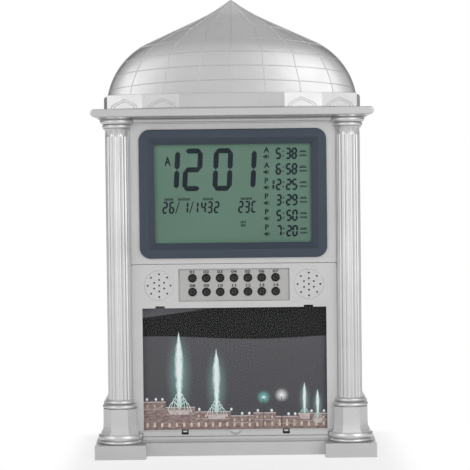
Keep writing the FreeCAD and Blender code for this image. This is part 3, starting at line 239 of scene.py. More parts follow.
def join_as(name, pieces, material):
    """Several objects as one piece of one material."""
    bpy.ops.object.select_all(action="DESELECT")
    for piece in pieces:
        piece.select_set(True)
    whole = pieces[0]
    bpy.context.view_layer.objects.active = whole
    bpy.ops.object.join()
    whole.name = name
    whole.data.materials.clear()
    whole.data.materials.append(material)
    return whole


def set_mode(mode):
    """The active piece in edit mode or out of it."""
    bpy.ops.object.mode_set(mode=mode)


def turn_outwards():
    """All faces of the active mesh turned outwards."""
    set_mode("EDIT")
    bpy.ops.mesh.select_all(action="SELECT")
    bpy.ops.mesh.normals_make_consistent(inside=False)
    set_mode("OBJECT")


def flat_strip(points, width):
    """A flat band of even width along a path of (x, z) places, in front of the clock."""
    last = len(points) - 1
    bpy.ops.mesh.primitive_grid_add(x_subdivisions=last, y_subdivisions=1, size=2.0)
    strip = bpy.context.object
    for vertex in strip.data.vertices:
        k = round((vertex.co.x + 1.0) / 2.0 * last)
        before, after = points[max(k - 1, 0)], points[min(k + 1, last)]
        along = Vector((after[0] - before[0], after[1] - before[1])).normalized()
        side = width / 2 if vertex.co.y > 0 else -width / 2
        vertex.co = (points[k][0] - along.y * side, LAY_FROM_Y, points[k][1] + along.x * side)
    return strip


def lay_strips(name, paths, width, thickness, carrier):
    """Raised lines along paths, pressed straight back onto the CAD node that carries them."""
    piece = join_as(name, [flat_strip(path, width) for path in paths], silver_paint)
    wrap = piece.modifiers.new("laid on", "SHRINKWRAP")
    wrap.target = nodes[carrier]
    wrap.wrap_method = "PROJECT"
    wrap.use_project_y = True
    wrap.use_positive_direction = True
    bpy.ops.object.modifier_apply(modifier=wrap.name)
    for part in (piece.data.vertices, piece.data.edges, piece.data.polygons):
        part.foreach_set("select", [False] * len(part))
    for vertex in piece.data.vertices:
        vertex.select = vertex.co.y < LAY_FROM_Y + LAY_MISSED
    set_mode("EDIT")
    bpy.ops.mesh.delete(type="VERT")
    turn_outwards()
    body = piece.modifiers.new("body", "SOLIDIFY")
    body.thickness = thickness
    body.offset = 0.0
    bpy.ops.object.modifier_apply(modifier=body.name)
    soft = piece.modifiers.new("soft edges", "BEVEL")
    soft.width = thickness * RIB_ROUNDING
    soft.segments = 2
    soft.limit_method = "ANGLE"
    soft.angle_limit = radians(60)
    bpy.ops.object.modifier_apply(modifier=soft.name)
    turn_outwards()
    bpy.ops.object.shade_smooth_by_angle(angle=radians(40))
    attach(piece, "case")


def between(table, value):
    """Value of a table of pairs, on straight lines between them."""
    for (x0, y0), (x1, y1) in zip(table, table[1:]):
        if value <= x1 or (x1, y1) == table[-1]:
            return y0 + (y1 - y0) * (value - x0) / (x1 - x0)


def dome_half_width(z):
    """Half width of the dome at a height."""
    found, place = nodes["dome_shell"].ray_cast(Vector((*LOOK_FROM, z)),
                                                Vector((-1.0, 0.0, 0.0)))[:2]
    return place.x if found else 0.0


bpy.context.view_layer.update()
rib_paths = []
for slope in MERIDIANS:
    for side in ((1,) if slope == 0 else (1, -1)):
        path = []
        for step in range(RIB_STEPS + 1):
            z = DOME_FOOT_Z + (DOME_TIP_Z - DOME_FOOT_Z) * step / RIB_STEPS
            turn = atan(slope * between(PLAN_DEPTHS, z))
            path.append((side * dome_half_width(z) * sin(turn), z))
        rib_paths.append(path)
for level in RING_LEVELS:
    path = []
    for degrees in RING_TURNS:
        z = level - RING_DIP * (1.0 - cos(radians(degrees)))
        path.append((dome_half_width(z) * sin(radians(degrees)), z))
    rib_paths.append(path)
lay_strips("dome_ribs", rib_paths, RIB_WIDTH, RIB_THICKNESS, "dome_shell")

# ---- arches of the drum
# Four low pointed arches in raised double lines, the inner one scalloped, moulded on the slanted
# facets of the drum. The middle facet is plain.

ARCHES = ((0.0400, 0.0496, 0.0600), (0.0680, 0.0772, 0.0872))  # foot, apex and foot
ARCH_FOOT_Z = 0.2511
ARCH_HEIGHT = 0.0063
ARCH_SHAPE = ((0.0, 1.05), (0.25, 0.86), (0.6, 0.62), (0.93, 0.35), (1.0, 0.0))
ARCH_STEPS = 24  # on each side of the apex
ARCH_LINE = 0.00042
ARCH_THICKNESS = 0.0006
ARCH_INNER = 0.80  # size of the inner line
ARCH_SCALLOP = 0.0004
SCALLOPS = 4.5  # on each side of the apex
SCALLOP_END = 0.95  # share of the way to the foot


def arch_path(foot, apex, far_foot, share, scallop):
    """Places along one pointed arch, narrowed to a share of its size."""
    path = []
    for step in range(-ARCH_STEPS, ARCH_STEPS + 1):
        u = step / ARCH_STEPS
        reach = (apex - foot) if u < 0 else (far_foot - apex)
        rise = between(ARCH_SHAPE, abs(u)) * ARCH_HEIGHT * share
        rise -= scallop * abs(sin(SCALLOPS * pi * u)) * (abs(u) < SCALLOP_END)
        path.append((apex + u * reach * share, ARCH_FOOT_Z + max(rise, 0.0)))
    return path


arch_paths = []
for foot, apex, far_foot in ARCHES:
    for side in (1, -1):
        for share, scallop in ((1.0, 0.0), (ARCH_INNER, ARCH_SCALLOP)):
            arch_paths.append([(side * x, z) for x, z in
                               arch_path(foot, apex, far_foot, share, scallop)])
lay_strips("drum_arches", arch_paths, ARCH_LINE, ARCH_THICKNESS, "dome_drum")

# ---- reeds of the columns
# The polished coat of the two half-round shafts: eight rounded reeds between sharp grooves, from
# the collar up to the neck, drawn in slightly towards the top.

SHAFT_BACK_Y = -0.0140
SHAFT_FOOT_Z = 0.0417
SHAFT_HEAD_Z = 0.2309
SHAFT_RADIUS = (0.00872, 0.00842)  # at the foot and at the head
REEDS = 8
REED_DEPTH = 0.0007
REED_PARTS = 8


def front_middle(name):
    """The middle of a node, on its front."""
    low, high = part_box(name)
    return (low.x + high.x) / 2, low.y, (low.z + high.z) / 2


def thicken(way):
    """The active flat shape drawn out into a closed body."""
    set_mode("EDIT")
    bpy.ops.mesh.select_all(action="SELECT")
    bpy.ops.mesh.extrude_region_move(TRANSFORM_OT_translate={"value": way})
    turn_outwards()


def place_copy(pattern, matrix):
    """A copy of a piece with its own mesh, moved to its place."""
    copy = pattern.copy()
    copy.data = pattern.data.copy()
    copy.data.transform(matrix)
    bpy.context.scene.collection.objects.link(copy)
    return copy


def reeded_places(radius, z):
    """Places round a half-round section with convex reeds, from its right end to its left."""
    places = []
    for reed in range(REEDS):
        for part in range(REED_PARTS):
            share = part / REED_PARTS
            angle = pi * (reed + share) / REEDS
            reach = radius - REED_DEPTH * (2.0 * share - 1.0) ** 2
            places.append((reach * cos(angle), SHAFT_BACK_Y - reach * sin(angle), z))
    places.append((REED_DEPTH - radius, SHAFT_BACK_Y, z))
    return places


COLUMNS = [(name, front_middle(name)[0]) for name in ("left_column", "right_column")]
foot = reeded_places(SHAFT_RADIUS[0], SHAFT_FOOT_Z)
head = reeded_places(SHAFT_RADIUS[1], SHAFT_HEAD_Z)
bpy.ops.mesh.primitive_circle_add(vertices=len(foot), fill_type="NGON")
coat = bpy.context.object
for vertex, place in zip(coat.data.vertices, foot):
    vertex.co = place
thicken((0, 0, SHAFT_HEAD_Z - SHAFT_FOOT_Z))
for vertex in coat.data.vertices:
    if vertex.co.z > (SHAFT_FOOT_Z + SHAFT_HEAD_Z) / 2:
        nearest = min(range(len(foot)),
                      key=lambda k: (Vector(foot[k][:2]) - vertex.co.xy).length)
        vertex.co = head[nearest]
turn_outwards()
bpy.ops.object.shade_smooth_by_angle(angle=radians(30))
coat.data.materials.append(column_paint)
for name, centre in COLUMNS:
    reeds = place_copy(coat, Matrix.Translation((centre, 0, 0)))
    reeds.name = name + "_reeds"
    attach(reeds, "case")
bpy.data.objects.remove(coat)

# ---- ornament of the column necks
# Small raised chevrons stand side by side round the neck of each column, between the reeds and
# the rings of the capital.

NECK_FOOT_Z = 0.2316
NECK_TOP_Z = 0.2358
NECK_RADIUS = 0.0098
CHEVRON_TURNS = (-66, -44, -22, 0, 22, 44, 66)  # degrees round the neck
CHEVRON_FOOT = 8  # degrees from its point to each foot
CHEVRON_LINE = 0.0004  # width and thickness

for name, centre in COLUMNS:
    chevrons = []
    for middle in CHEVRON_TURNS:
        chevrons.append([
            (centre + NECK_RADIUS * sin(radians(middle + CHEVRON_FOOT * share)),
             NECK_TOP_Z - (NECK_TOP_Z - NECK_FOOT_Z) * abs(share))
            for share in (-1.0, -0.5, 0.0, 0.5, 1.0)])
    lay_strips(name + "_chevrons", chevrons, CHEVRON_LINE, CHEVRON_LINE, name)

# ---- fascias
# Two flat panels drop into the front housing, one round the display and one with the keypad
# recess, the speaker grilles and the picture window. They are silver plastic with a satin grain.

FASCIA_TONES = ((0.55, 0.55, 0.55, 1), (0.605, 0.605, 0.605, 1))

fascia_plastic = moulded("fascia plastic", FASCIA_TONES, (0.36, 0.48), 3600.0, 0.00003,
                         edge=0.00018, metallic=0.3)
dress(fascia_plastic, "fascia", "upper_fascia", "lower_fascia")

# ---- display bezel and holder
# A slate-blue moulded frame with a bevelled inner edge plugs through the upper fascia. A black
# holder behind it clamps the window, the glass and the board.

SLATE = ((0.043, 0.058, 0.079, 1), (0.053, 0.069, 0.093, 1))
BLACK_PLASTIC = ((0.020, 0.020, 0.022, 1), (0.032, 0.032, 0.035, 1))

slate_plastic = moulded("slate plastic", SLATE, (0.28, 0.42), 3000.0, 0.00002, specular=0.3)
dress(slate_plastic, "slate_plastic", "display_bezel")
black_plastic = moulded("black plastic", BLACK_PLASTIC, (0.4, 0.55), 3200.0, 0.00003)
dress(black_plastic, "dark_plastic", "lcd_holder", "picture_tray")

# ---- boards and their parts
# Two green circuit boards, the controller under a drop of black epoxy, two contact strips and
# the keypad's web of rubber, a flat ribbon soldered between the boards, and the pressed paper
# cones of the two speakers.

INNER_PARTS = (
    ("solder mask", "board", ((0.012, 0.10, 0.035, 1), (0.03, 0.17, 0.07, 1)), (0.22, 0.4),
     700.0, 0.00003, ("main_board", "keypad_board")),
    ("epoxy", "epoxy", ((0.01, 0.01, 0.01, 1), (0.02, 0.02, 0.02, 1)), (0.12, 0.3),
     900.0, 0.00005, ("controller_chip",)),
    ("strip rubber", "strip_rubber", ((0.35, 0.08, 0.11, 1), (0.48, 0.13, 0.17, 1)), (0.6, 0.8),
     2500.0, 0.00004, ("zebra_strips",)),
    ("web rubber", "mat_rubber", ((0.28, 0.28, 0.28, 1), (0.36, 0.36, 0.36, 1)), (0.6, 0.8),
     2500.0, 0.00004, ("keypad_mat",)),
    ("ribbon film", "ribbon", ((0.62, 0.62, 0.60, 1), (0.72, 0.72, 0.70, 1)), (0.3, 0.5),
     2500.0, 0.00003, ("keypad_ribbon",)),
    ("cone paper", "cone_paper", ((0.02, 0.02, 0.02, 1), (0.04, 0.04, 0.04, 1)), (0.8, 0.95),
     2600.0, 0.00008, ("left_speaker_cone", "right_speaker_cone")))

for name, slot, tones, gloss, grain, relief, pieces in INNER_PARTS:
    dress(moulded(name, tones, gloss, grain, relief), slot, *pieces)

# ---- display glass and window
# The liquid-crystal glass lies behind a clear acrylic window. Its reflective back gives the
# field its grey-green colour.

FIELD_TONES = ((0.134, 0.232, 0.182, 1), (0.156, 0.264, 0.208, 1))
LCD_FACE_Y = front_middle("lcd_glass")[1]
FINE_MOULDING = {"grain": 2600.0, "relief": 0.00001, "edge": 0.0001}
SMEARS = 90.0  # smeared patches per metre
RIPPLES = 35.0  # ripples per metre
CLEAR_IOR = 1.14  # a thin sheet bends what lies behind it very little


def clear_plastic(name, tint, roughness, ripple):
    """Clear moulded sheet with a faint ripple in its surface."""
    material, tree, shader = new_material(name)
    place = object_place(tree)
    smears = noise(tree, place, SMEARS, detail=5.0)
    feed(tree, shader, {"Base Color": two_tones(tree, smears, ((1.0, 1.0, 1.0, 1), tint)),
                        "Roughness": mapped(tree, smears, 0.35, 0.8, *roughness),
                        "Normal": bumps(tree, noise(tree, place, RIPPLES), ripple, 0.3),
                        "Transmission Weight": 1.0, "IOR": CLEAR_IOR})
    return material


def cast_no_shadow(name):
    """Let light through a clear node to what lies behind it."""
    nodes[name].visible_shadow = False
    nodes[name].visible_diffuse = False


lcd_field = moulded("display field", FIELD_TONES, (0.35, 0.5), specular=0.2, **FINE_MOULDING)
dress(lcd_field, "lcd", "lcd_glass")
acrylic = clear_plastic("window acrylic", (0.97, 0.99, 0.98, 1), (0.03, 0.09), 0.00005)
dress(acrylic, "clear_window", "display_window")
cast_no_shadow("display_window")

# ---- display segments
# The lit segments of the liquid crystal: dark blue-black bars with mitred ends that lean a few
# degrees, in three sizes.

SEGMENT_TONES = ((0.006, 0.011, 0.016, 1), (0.012, 0.020, 0.028, 1))
LCD_CENTRE_Z = front_middle("display_window")[2]
SEGMENT_LEAN = 0.055  # sideways for each metre up
SEGMENT_THICKNESS = 0.00002
SEGMENT_GAP = 0.00001  # in front of the glass
FACING = Matrix.Rotation(radians(90), 4, "X")  # stands a flat shape up, face to the front
UPRIGHT = Matrix.Rotation(radians(90), 4, "Y")
LEANING = Matrix(((1, 0, SEGMENT_LEAN, 0), (0, 1, 0, 0), (0, 0, 1, 0), (0, 0, 0, 1)))
LIT = {"0": "abcdef", "1": "bc", "2": "abged", "3": "abgcd", "4": "fgbc", "5": "afgcd",
       "6": "afgedc", "7": "abc", "8": "abcdefg", "9": "abcdfg", "C": "afed"}
MAIN_SIZE = (0.0140, 0.0308, 0.0037)  # width, height and stroke of a figure
ROW_SIZE = (0.0042, 0.0084, 0.00145)
DATE_SIZE = (0.0039, 0.0088, 0.0013)
MAIN_BASE = 0.0019
MAIN_CELLS = (-0.0532, -0.0368, -0.0150, 0.0021)
DATE_BASE = -0.01425
DATE_CELLS = (-0.0513, -0.0465, -0.03645, -0.02915, -0.0236, -0.0189, -0.0141, 0.0034, 0.0080,
              0.0128)
ROW_TOP_BASE = 0.0242
ROW_PITCH = 0.01117
ROW_CELLS = (0.0256, 0.0307, 0.0379, 0.0422)
ROW_TIMES = (" 538", " 658", "1225", " 329", " 550", " 720")

segment_ink = moulded("segment ink", SEGMENT_TONES, (0.3, 0.45), specular=0.15, **FINE_MOULDING)


def on_glass(x, z):
    """Place of a mark on the glass, measured from the middle of the display."""
    return Matrix.Translation((x, LCD_FACE_Y - SEGMENT_GAP, LCD_CENTRE_Z + z))


def lcd_bar(length, width):
    """A mitred bar along X in the plane of the display, centred on the origin."""
    bpy.ops.mesh.primitive_plane_add(size=1.0)
    bar = bpy.context.object
    set_mode("EDIT")
    bpy.ops.transform.resize(value=(length, width, 1.0))
    bpy.ops.mesh.bevel(offset=0.49 * width, affect="VERTICES")
    thicken((0, 0, SEGMENT_THICKNESS))
    bar.data.transform(FACING)
    return bar


def figure(text, left, base, size, bars):
    """The lit bars of one figure, from its lower left corner."""
    width, height, stroke = size
    near, far, middle = stroke / 2, width - stroke / 2, width / 2
    upper, lower = 0.75 * height - stroke / 4, 0.25 * height + stroke / 4
    centres = {"a": (middle, height - stroke / 2, 0), "b": (far, upper, 1),
               "c": (far, lower, 1), "d": (middle, stroke / 2, 0), "e": (near, lower, 1),
               "f": (near, upper, 1), "g": (middle, height / 2, 0)}
    placed = []
    for letter in LIT[text]:
        x, z, upright = centres[letter]
        turn = UPRIGHT if upright else Matrix.Identity(4)
        placed.append(place_copy(bars[upright], on_glass(left, base) @ LEANING
                                 @ Matrix.Translation((x, 0, z)) @ turn))
    return placed


def figures(name, lines, cells, size, base):
    """All figures of one size as one piece, in lines from the top one down."""
    width, height, stroke = size
    flat = lcd_bar(width - 0.75 * stroke, stroke)
    upright = lcd_bar(height / 2 - 0.55 * stroke, stroke)
    placed = []
    for row, line in enumerate(lines):
        for text, left in zip(line, cells):
            if text != " ":
                placed += figure(text, left, base - row * ROW_PITCH, size, (flat, upright))
    for pattern in (flat, upright):
        bpy.data.objects.remove(pattern)
    piece = join_as(name, placed, segment_ink)
    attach(piece, "case")


figures("display_main_time", ("1201",), MAIN_CELLS, MAIN_SIZE, MAIN_BASE)
figures("display_date", ("261143223C",), DATE_CELLS, DATE_SIZE, DATE_BASE)
figures("display_rows", ROW_TIMES, ROW_CELLS, ROW_SIZE, ROW_TOP_BASE)

# ---- display marks
# Small fixed marks of the display: colons, slashes, the letters for morning and afternoon, a
# sounder sign beside each row, and rows of short upright bars in the place of captions.

CAPTION_PITCH = 0.00095  # from bar to bar
CAPTION_STROKE = 0.00062
CAPTION_HEIGHT = 0.0021
CAPTIONS = ((-0.0496, -0.0431, -0.0039), (-0.0399, -0.0309, -0.0039),
            (-0.0221, -0.0141, -0.0039), (0.0053, 0.0137, -0.0039),
            (0.0050, 0.0092, -0.0208), (0.0052, 0.0090, -0.0232))  # from, to and middle
ROW_CAPTIONS = ((0.0488, 0.0528, 0.0060, 0.0014), (0.0481, 0.0535, 0.0027, 0.0017))
ROW_DASHES = ((0.0356, 0.0370, 0.0025, 0.0012), (0.0358, 0.0372, 0.0058, 0.0012),
              (0.0478, 0.0536, 0.0052, 0.0006))  # two dots of the colon and a rule
ROW_LETTERS = "AAPPPP"
ROW_LETTER = (0.0227, 0.0051, 0.0040)  # left, base and height
MAIN_LETTER = (-0.0489, 0.0207, 0.0064)
MAIN_LETTER_WIDTH = 0.68  # narrower than the font draws it
LETTER_BOLDNESS = 0.045  # of its height
FONT_SIZE = 1.37  # over the height of a capital
SLASHES = (-0.0402, -0.0301)
SLASH_SIZE = (0.0092, 0.0007)
SLASH_TURN = -72  # degrees
SOUNDER = (0.0238, 0.0021)  # from the base of its row
HORN_SIZE = (0.0017, 0.0034, 1.0)
HORN_THROAT = 0.35  # height of its narrow end over its mouth
HORN_BOX = (-0.0018, -0.0006, 0.0016)  # from, to and height
SOUND_WAVES = ((0.0013, 0.0020), (0.0021, 0.0031))
SOUND_STROKE = 0.0004


def display_dash(x0, x1, z, height):
    """A short bar between two places."""
    bar = lcd_bar(x1 - x0, height)
    bar.data.transform(on_glass((x0 + x1) / 2, z))
    return bar


def raised_text(body, height, boldness, smoothness, align="LEFT"):
    """Letters or numbers as a thin raised mesh, lying flat at the origin."""
    bpy.ops.object.text_add()
    text = bpy.context.object
    text.data.body = body
    text.data.align_x = align
    text.data.size = height * FONT_SIZE
    text.data.extrude = SEGMENT_THICKNESS / 2
    text.data.offset = boldness
    text.data.resolution_u = smoothness
    bpy.ops.object.convert(target="MESH")
    return bpy.context.object


def display_letter(text, x, z, height, narrow=1.0):
    """A letter of the display."""
    letter = raised_text(text, height, LETTER_BOLDNESS * height, 3)
    letter.data.transform(on_glass(x, z) @ FACING @ Matrix.Diagonal((narrow, 1.0, 1.0, 1.0)))
    return letter


def upright_bar(x, z, height, stroke, turn=90):
    """A bar stood up, or turned by other degrees."""
    bar = lcd_bar(height, stroke)
    bar.data.transform(on_glass(x, z) @ Matrix.Rotation(radians(turn), 4, "Y"))
    return bar


def stretch(size):
    """The active mesh stretched along its axes."""
    set_mode("EDIT")
    bpy.ops.transform.resize(value=size)
    set_mode("OBJECT")


def sounder(x, z):
    """A small loudspeaker sign: a box, its horn and two upright bars of sound."""
    bpy.ops.mesh.primitive_plane_add(size=1.0)
    horn = bpy.context.object
    stretch(HORN_SIZE)
    for vertex in horn.data.vertices:
        if vertex.co.x < 0:
            vertex.co.y *= HORN_THROAT
    thicken((0, 0, SEGMENT_THICKNESS))
    horn.data.transform(on_glass(x, z) @ FACING)
    box_from, box_to, box_height = HORN_BOX
    return ([horn, display_dash(x + box_from, x + box_to, z, box_height)]
            + [upright_bar(x + out, z, height, SOUND_STROKE) for out, height in SOUND_WAVES])


def caption(low, high, z, height):
    """A row of short upright bars in the place of a word."""
    count = round((high - low) / CAPTION_PITCH)
    first = upright_bar(0.0, z, height, CAPTION_STROKE)
    bars = [place_copy(first, Matrix.Translation((low + (k + 0.5) * (high - low) / count, 0, 0)))
            for k in range(count)]
    bpy.data.objects.remove(first)
    return bars


marks = [display_letter("A", *MAIN_LETTER, narrow=MAIN_LETTER_WIDTH)]
for x in SLASHES:
    marks.append(upright_bar(x, DATE_BASE + DATE_SIZE[1] / 2, *SLASH_SIZE, turn=SLASH_TURN))
for row, text in enumerate(ROW_LETTERS):
    base = ROW_TOP_BASE - row * ROW_PITCH
    left, up, height = ROW_LETTER
    marks.append(display_letter(text, left, base + up, height))
    marks += sounder(SOUNDER[0], base + SOUNDER[1])
    for x0, x1, z, height in ROW_DASHES:
        marks.append(display_dash(x0, x1, base + z, height))
    for x0, x1, z, height in ROW_CAPTIONS:
        marks += caption(x0, x1, base + z, height)
for x0, x1, z in CAPTIONS:
    marks += caption(x0, x1, z, CAPTION_HEIGHT)
marks_piece = join_as("display_marks", marks, segment_ink)
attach(marks_piece, "case")

# ---- keypad
# Fourteen black rubber keys with dished tops stand in a recessed grey plate. Plain numbers are
# printed above them.

PLATE_TONES = ((0.46, 0.455, 0.445, 1), (0.51, 0.505, 0.495, 1))
KEY_TONES = ((0.0025, 0.0025, 0.0025, 1), (0.0055, 0.0055, 0.0055, 1))
# the rims' lighter grey is a painted highlight: it stands for the glint of light on the dished key
# tops
KEY_RIM_HIGHLIGHT_TONES = ((0.035, 0.035, 0.036, 1), (0.060, 0.060, 0.062, 1))
KEY_RIM_RADIUS = 0.00145
KEY_RIM_THICKNESS = 0.00022
KEY_RIM_DEPTH = 0.00010
KEY_RIM_CROWN = 1.3  # the rim stands taller than it is thick
NUMBER_HEIGHT = 0.0021
NUMBER_STRETCH = 1.45  # the numbers are wide
NUMBER_BOLDNESS = 0.00011
NUMBER_RISE = 0.0036  # from the middle of a key to the foot of its number
NUMBER_GAP = 0.00001  # in front of the plate
PLATE_FACE_Y = front_middle("key_plate")[1]

plate_plastic = moulded("plate plastic", PLATE_TONES, (0.35, 0.5), 1900.0, 0.00006)
dress(plate_plastic, "key_plate", "key_plate")
key_names = ["key_%d" % number for number in range(1, 15)]
key_rubber = moulded("key rubber", KEY_TONES, (0.16, 0.28), 2600.0, 0.00002, edge=0.00012,
                     specular=0.3)
dress(key_rubber, "key_rubber", *key_names)

# a thin raised ring on each key, coloured a lighter grey as a painted highlight
bpy.ops.mesh.primitive_torus_add(major_segments=40, minor_segments=10,
                                 major_radius=KEY_RIM_RADIUS, minor_radius=KEY_RIM_THICKNESS)
first_rim = bpy.context.object
stretch((1.0, 1.0, KEY_RIM_CROWN))
bpy.ops.object.shade_smooth()
first_rim.data.transform(FACING)
first_rim.data.materials.append(moulded("key rim painted highlight", KEY_RIM_HIGHLIGHT_TONES, (0.10, 0.20),
                                        **FINE_MOULDING))

for name in key_names:
    x, y, z = front_middle(name)
    rim = place_copy(first_rim, Matrix.Translation((x, y + KEY_RIM_DEPTH, z)))
    rim.name = name + "_rim"
    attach(rim, name)
bpy.data.objects.remove(first_rim)

numbers = []
for number, name in enumerate(key_names, start=1):
    x, y, z = front_middle(name)
    text = raised_text("%02d" % number, NUMBER_HEIGHT, NUMBER_BOLDNESS, 2, "CENTER")
    text.data.transform(Matrix.Translation((x, PLATE_FACE_Y - NUMBER_GAP, z + NUMBER_RISE))
                        @ FACING @ Matrix.Diagonal((NUMBER_STRETCH, 1.0, 1.0, 1.0)))
    numbers.append(text)
number_ink = moulded("number ink", BLACK_PLASTIC, (0.5, 0.65), 3000.0, 0.00001, edge=0.0001)
number_print = join_as("key_numbers", numbers, number_ink)
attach(number_print, "case")

# ---- picture card
# A printed card slides into the tray behind the window: a night sky with a darker bank of cloud
# over it, and the soft glow of fountains and street lamps.

CARD_LOW, CARD_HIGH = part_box("picture_card")
CARD_FACE_Y = CARD_LOW.y
FOUNTAINS = ((-0.0405, 0.0330, 0.0570, 0.0085), (-0.0135, 0.0295, 0.0480, 0.0072),
             (0.0500, 0.0290, 0.0235, 0.0040),
             (0.0595, 0.0262, 0.0210, 0.0036))  # place, foot, rise and spread
STREET_LAMPS = ((0.0205, 0.0415, (0.22, 0.62, 0.56, 1)), (0.0335, 0.0430, (0.95, 0.95, 0.97, 1)))
LAMP_GLOW = (0.0058, 0.9)  # reach and strength
FOUNTAIN_GLOW = (0.45, 1.3, 0.62, 0.4)  # its middle and half sizes over the fountain's, strength
FOUNTAIN_TONE = (0.36, 0.62, 0.58, 1)
SPRAY_TONES = ((0.92, 0.97, 0.96, 1), (0.30, 0.60, 0.55, 1))
SPRAY_GRAIN = (1100.0, 0.0, 210.0)  # torn patches per metre, across and up
PLUME_POWERS = (1.5, 6.0)  # of its belly and of its taper
PLUME_WIDTHS = (0.26, 0.17)  # of its belly and of its stem, over the spread
SPRAY_TEARING = 1.1
SPRAY_EDGE = (1.15, 0.55)
SPRAY_FADE = (0.30, 0.95)
SPRAY_TOP = (0.985, 5.0)  # share of the rise where the water ends, and how sharply
SKY_TONES = ((0.082, 0.080, 0.089, 1), (0.110, 0.109, 0.118, 1))
HAZE = (22.0, 0.25)  # hazy patches per metre and their weight
PRINT_DOTS = 4000.0  # dots per metre
CLOUD_COLOUR = (0.0125, 0.0125, 0.013, 1)
CLOUD_EDGE_Z = 0.0852
CLOUD_SOFTNESS = 0.0003
CLOUD_WAVE = (42.0, 0.9, 0.0013)  # radians per metre, start and height of its wavy edge
CLOUD_GAP = (-0.13, 0.1085)  # slope and height of the line above which the cloud is open


def over(tree, share, under, top):
    """One colour painted over another."""
    return add_node(tree, "Mix", {"data_type": "RGBA"}, {0: share, 6: under, 7: top}).outputs[2]


def glow_over(tree, under, place, centre, reach, strength, colour):
    """A soft round or upright glow painted over a colour."""
    apart = vectors(tree, "SUBTRACT", place, (centre[0], 0.0, centre[1]))
    shares = vectors(tree, "MULTIPLY", apart, (1.0 / reach[0], 0.0, 1.0 / reach[1]))
    away = vectors(tree, "LENGTH", shares, output="Value")
    return over(tree, mapped(tree, away, 1.0, 0.0, 0.0, strength, soft=True), under, colour)


def plume_over(tree, under, place, axes, fountain):
    """A tall lit plume of water painted over a colour: white, with teal and torn edges."""
    x, foot, rise, spread = fountain
    up = mapped(tree, axes["Z"], foot, foot + rise)
    turn = times(tree, sums(tree, "POWER", up, PLUME_POWERS[0]), pi)
    belly = times(tree, sums(tree, "SINE", turn), PLUME_WIDTHS[0])
    taper = sums(tree, "SUBTRACT", 1.0, sums(tree, "POWER", up, PLUME_POWERS[1]))
    width = times(tree, sums(tree, "ADD", belly, PLUME_WIDTHS[1]), times(tree, taper, spread))
    away = sums(tree, "ABSOLUTE", sums(tree, "SUBTRACT", axes["X"], x))
    share = sums(tree, "DIVIDE", away, sums(tree, "MAXIMUM", width, 0.00002))
    torn = noise(tree, vectors(tree, "MULTIPLY", place, SPRAY_GRAIN), 1.0, detail=3.0)
    tearing = times(tree, sums(tree, "SUBTRACT", torn, 0.5), SPRAY_TEARING)
    past_top = times(tree, sums(tree, "GREATER_THAN", up, SPRAY_TOP[0]), SPRAY_TOP[1])
    ragged = sums(tree, "ADD", sums(tree, "ADD", share, tearing), past_top)
    body = mapped(tree, ragged, *SPRAY_EDGE, soft=True)
    return over(tree, body, under, two_tones(tree, ragged, SPRAY_TONES, SPRAY_FADE))


def night_sky():
    """Printed sky: grey, black above a wavy cloud edge, with glows over the town."""
    material, tree, shader = new_material("night sky print")
    place = object_place(tree)
    axes = add_node(tree, "SeparateXYZ", {}, {0: place}).outputs
    pace, start, height = CLOUD_WAVE
    turn = sums(tree, "ADD", times(tree, axes["X"], pace), start)
    wave = times(tree, sums(tree, "SINE", turn), height)
    edge = sums(tree, "ADD", sums(tree, "SUBTRACT", axes["Z"], CLOUD_EDGE_Z), wave)
    bank = mapped(tree, edge, -CLOUD_SOFTNESS, CLOUD_SOFTNESS, soft=True)
    slope = sums(tree, "ADD", axes["Z"], times(tree, axes["X"], CLOUD_GAP[0]))
    past_gap = sums(tree, "SUBTRACT", slope, CLOUD_GAP[1])
    below_gap = mapped(tree, past_gap, 2 * CLOUD_SOFTNESS, -2 * CLOUD_SOFTNESS, soft=True)
    haze = sums(tree, "SUBTRACT", noise(tree, place, HAZE[0], detail=3.0), 0.5)
    fade = sums(tree, "ADD", mapped(tree, axes["Z"], CARD_LOW.z, CARD_HIGH.z),
                times(tree, haze, HAZE[1]))
    colour = two_tones(tree, fade, SKY_TONES)
    for x, foot, rise, spread in FOUNTAINS:
        middle, wide, tall, strength = FOUNTAIN_GLOW
        colour = glow_over(tree, colour, place, (x, foot + middle * rise),
                           (wide * spread, tall * rise), strength, FOUNTAIN_TONE)
    for x, z, tone in STREET_LAMPS:
        reach, strength = LAMP_GLOW
        colour = glow_over(tree, colour, place, (x, z), (reach, reach), strength, tone)
    colour = over(tree, times(tree, bank, below_gap), colour, CLOUD_COLOUR)
    for fountain in FOUNTAINS:
        colour = plume_over(tree, colour, place, axes, fountain)
    feed(tree, shader, {"Base Color": colour, "Roughness": 0.5, "Specular IOR Level": 0.10,
                        "Normal": bumps(tree, noise(tree, place, PRINT_DOTS), 0.00001, 0.2)})
    return material


dress(night_sky(), "card", "picture_card")

# ---- town on the card
# The lower part of the print: flat-roofed stone houses with lit windows, street lamps and four
# fountains lit from below. Each colour is one thin layer of ink on the card.

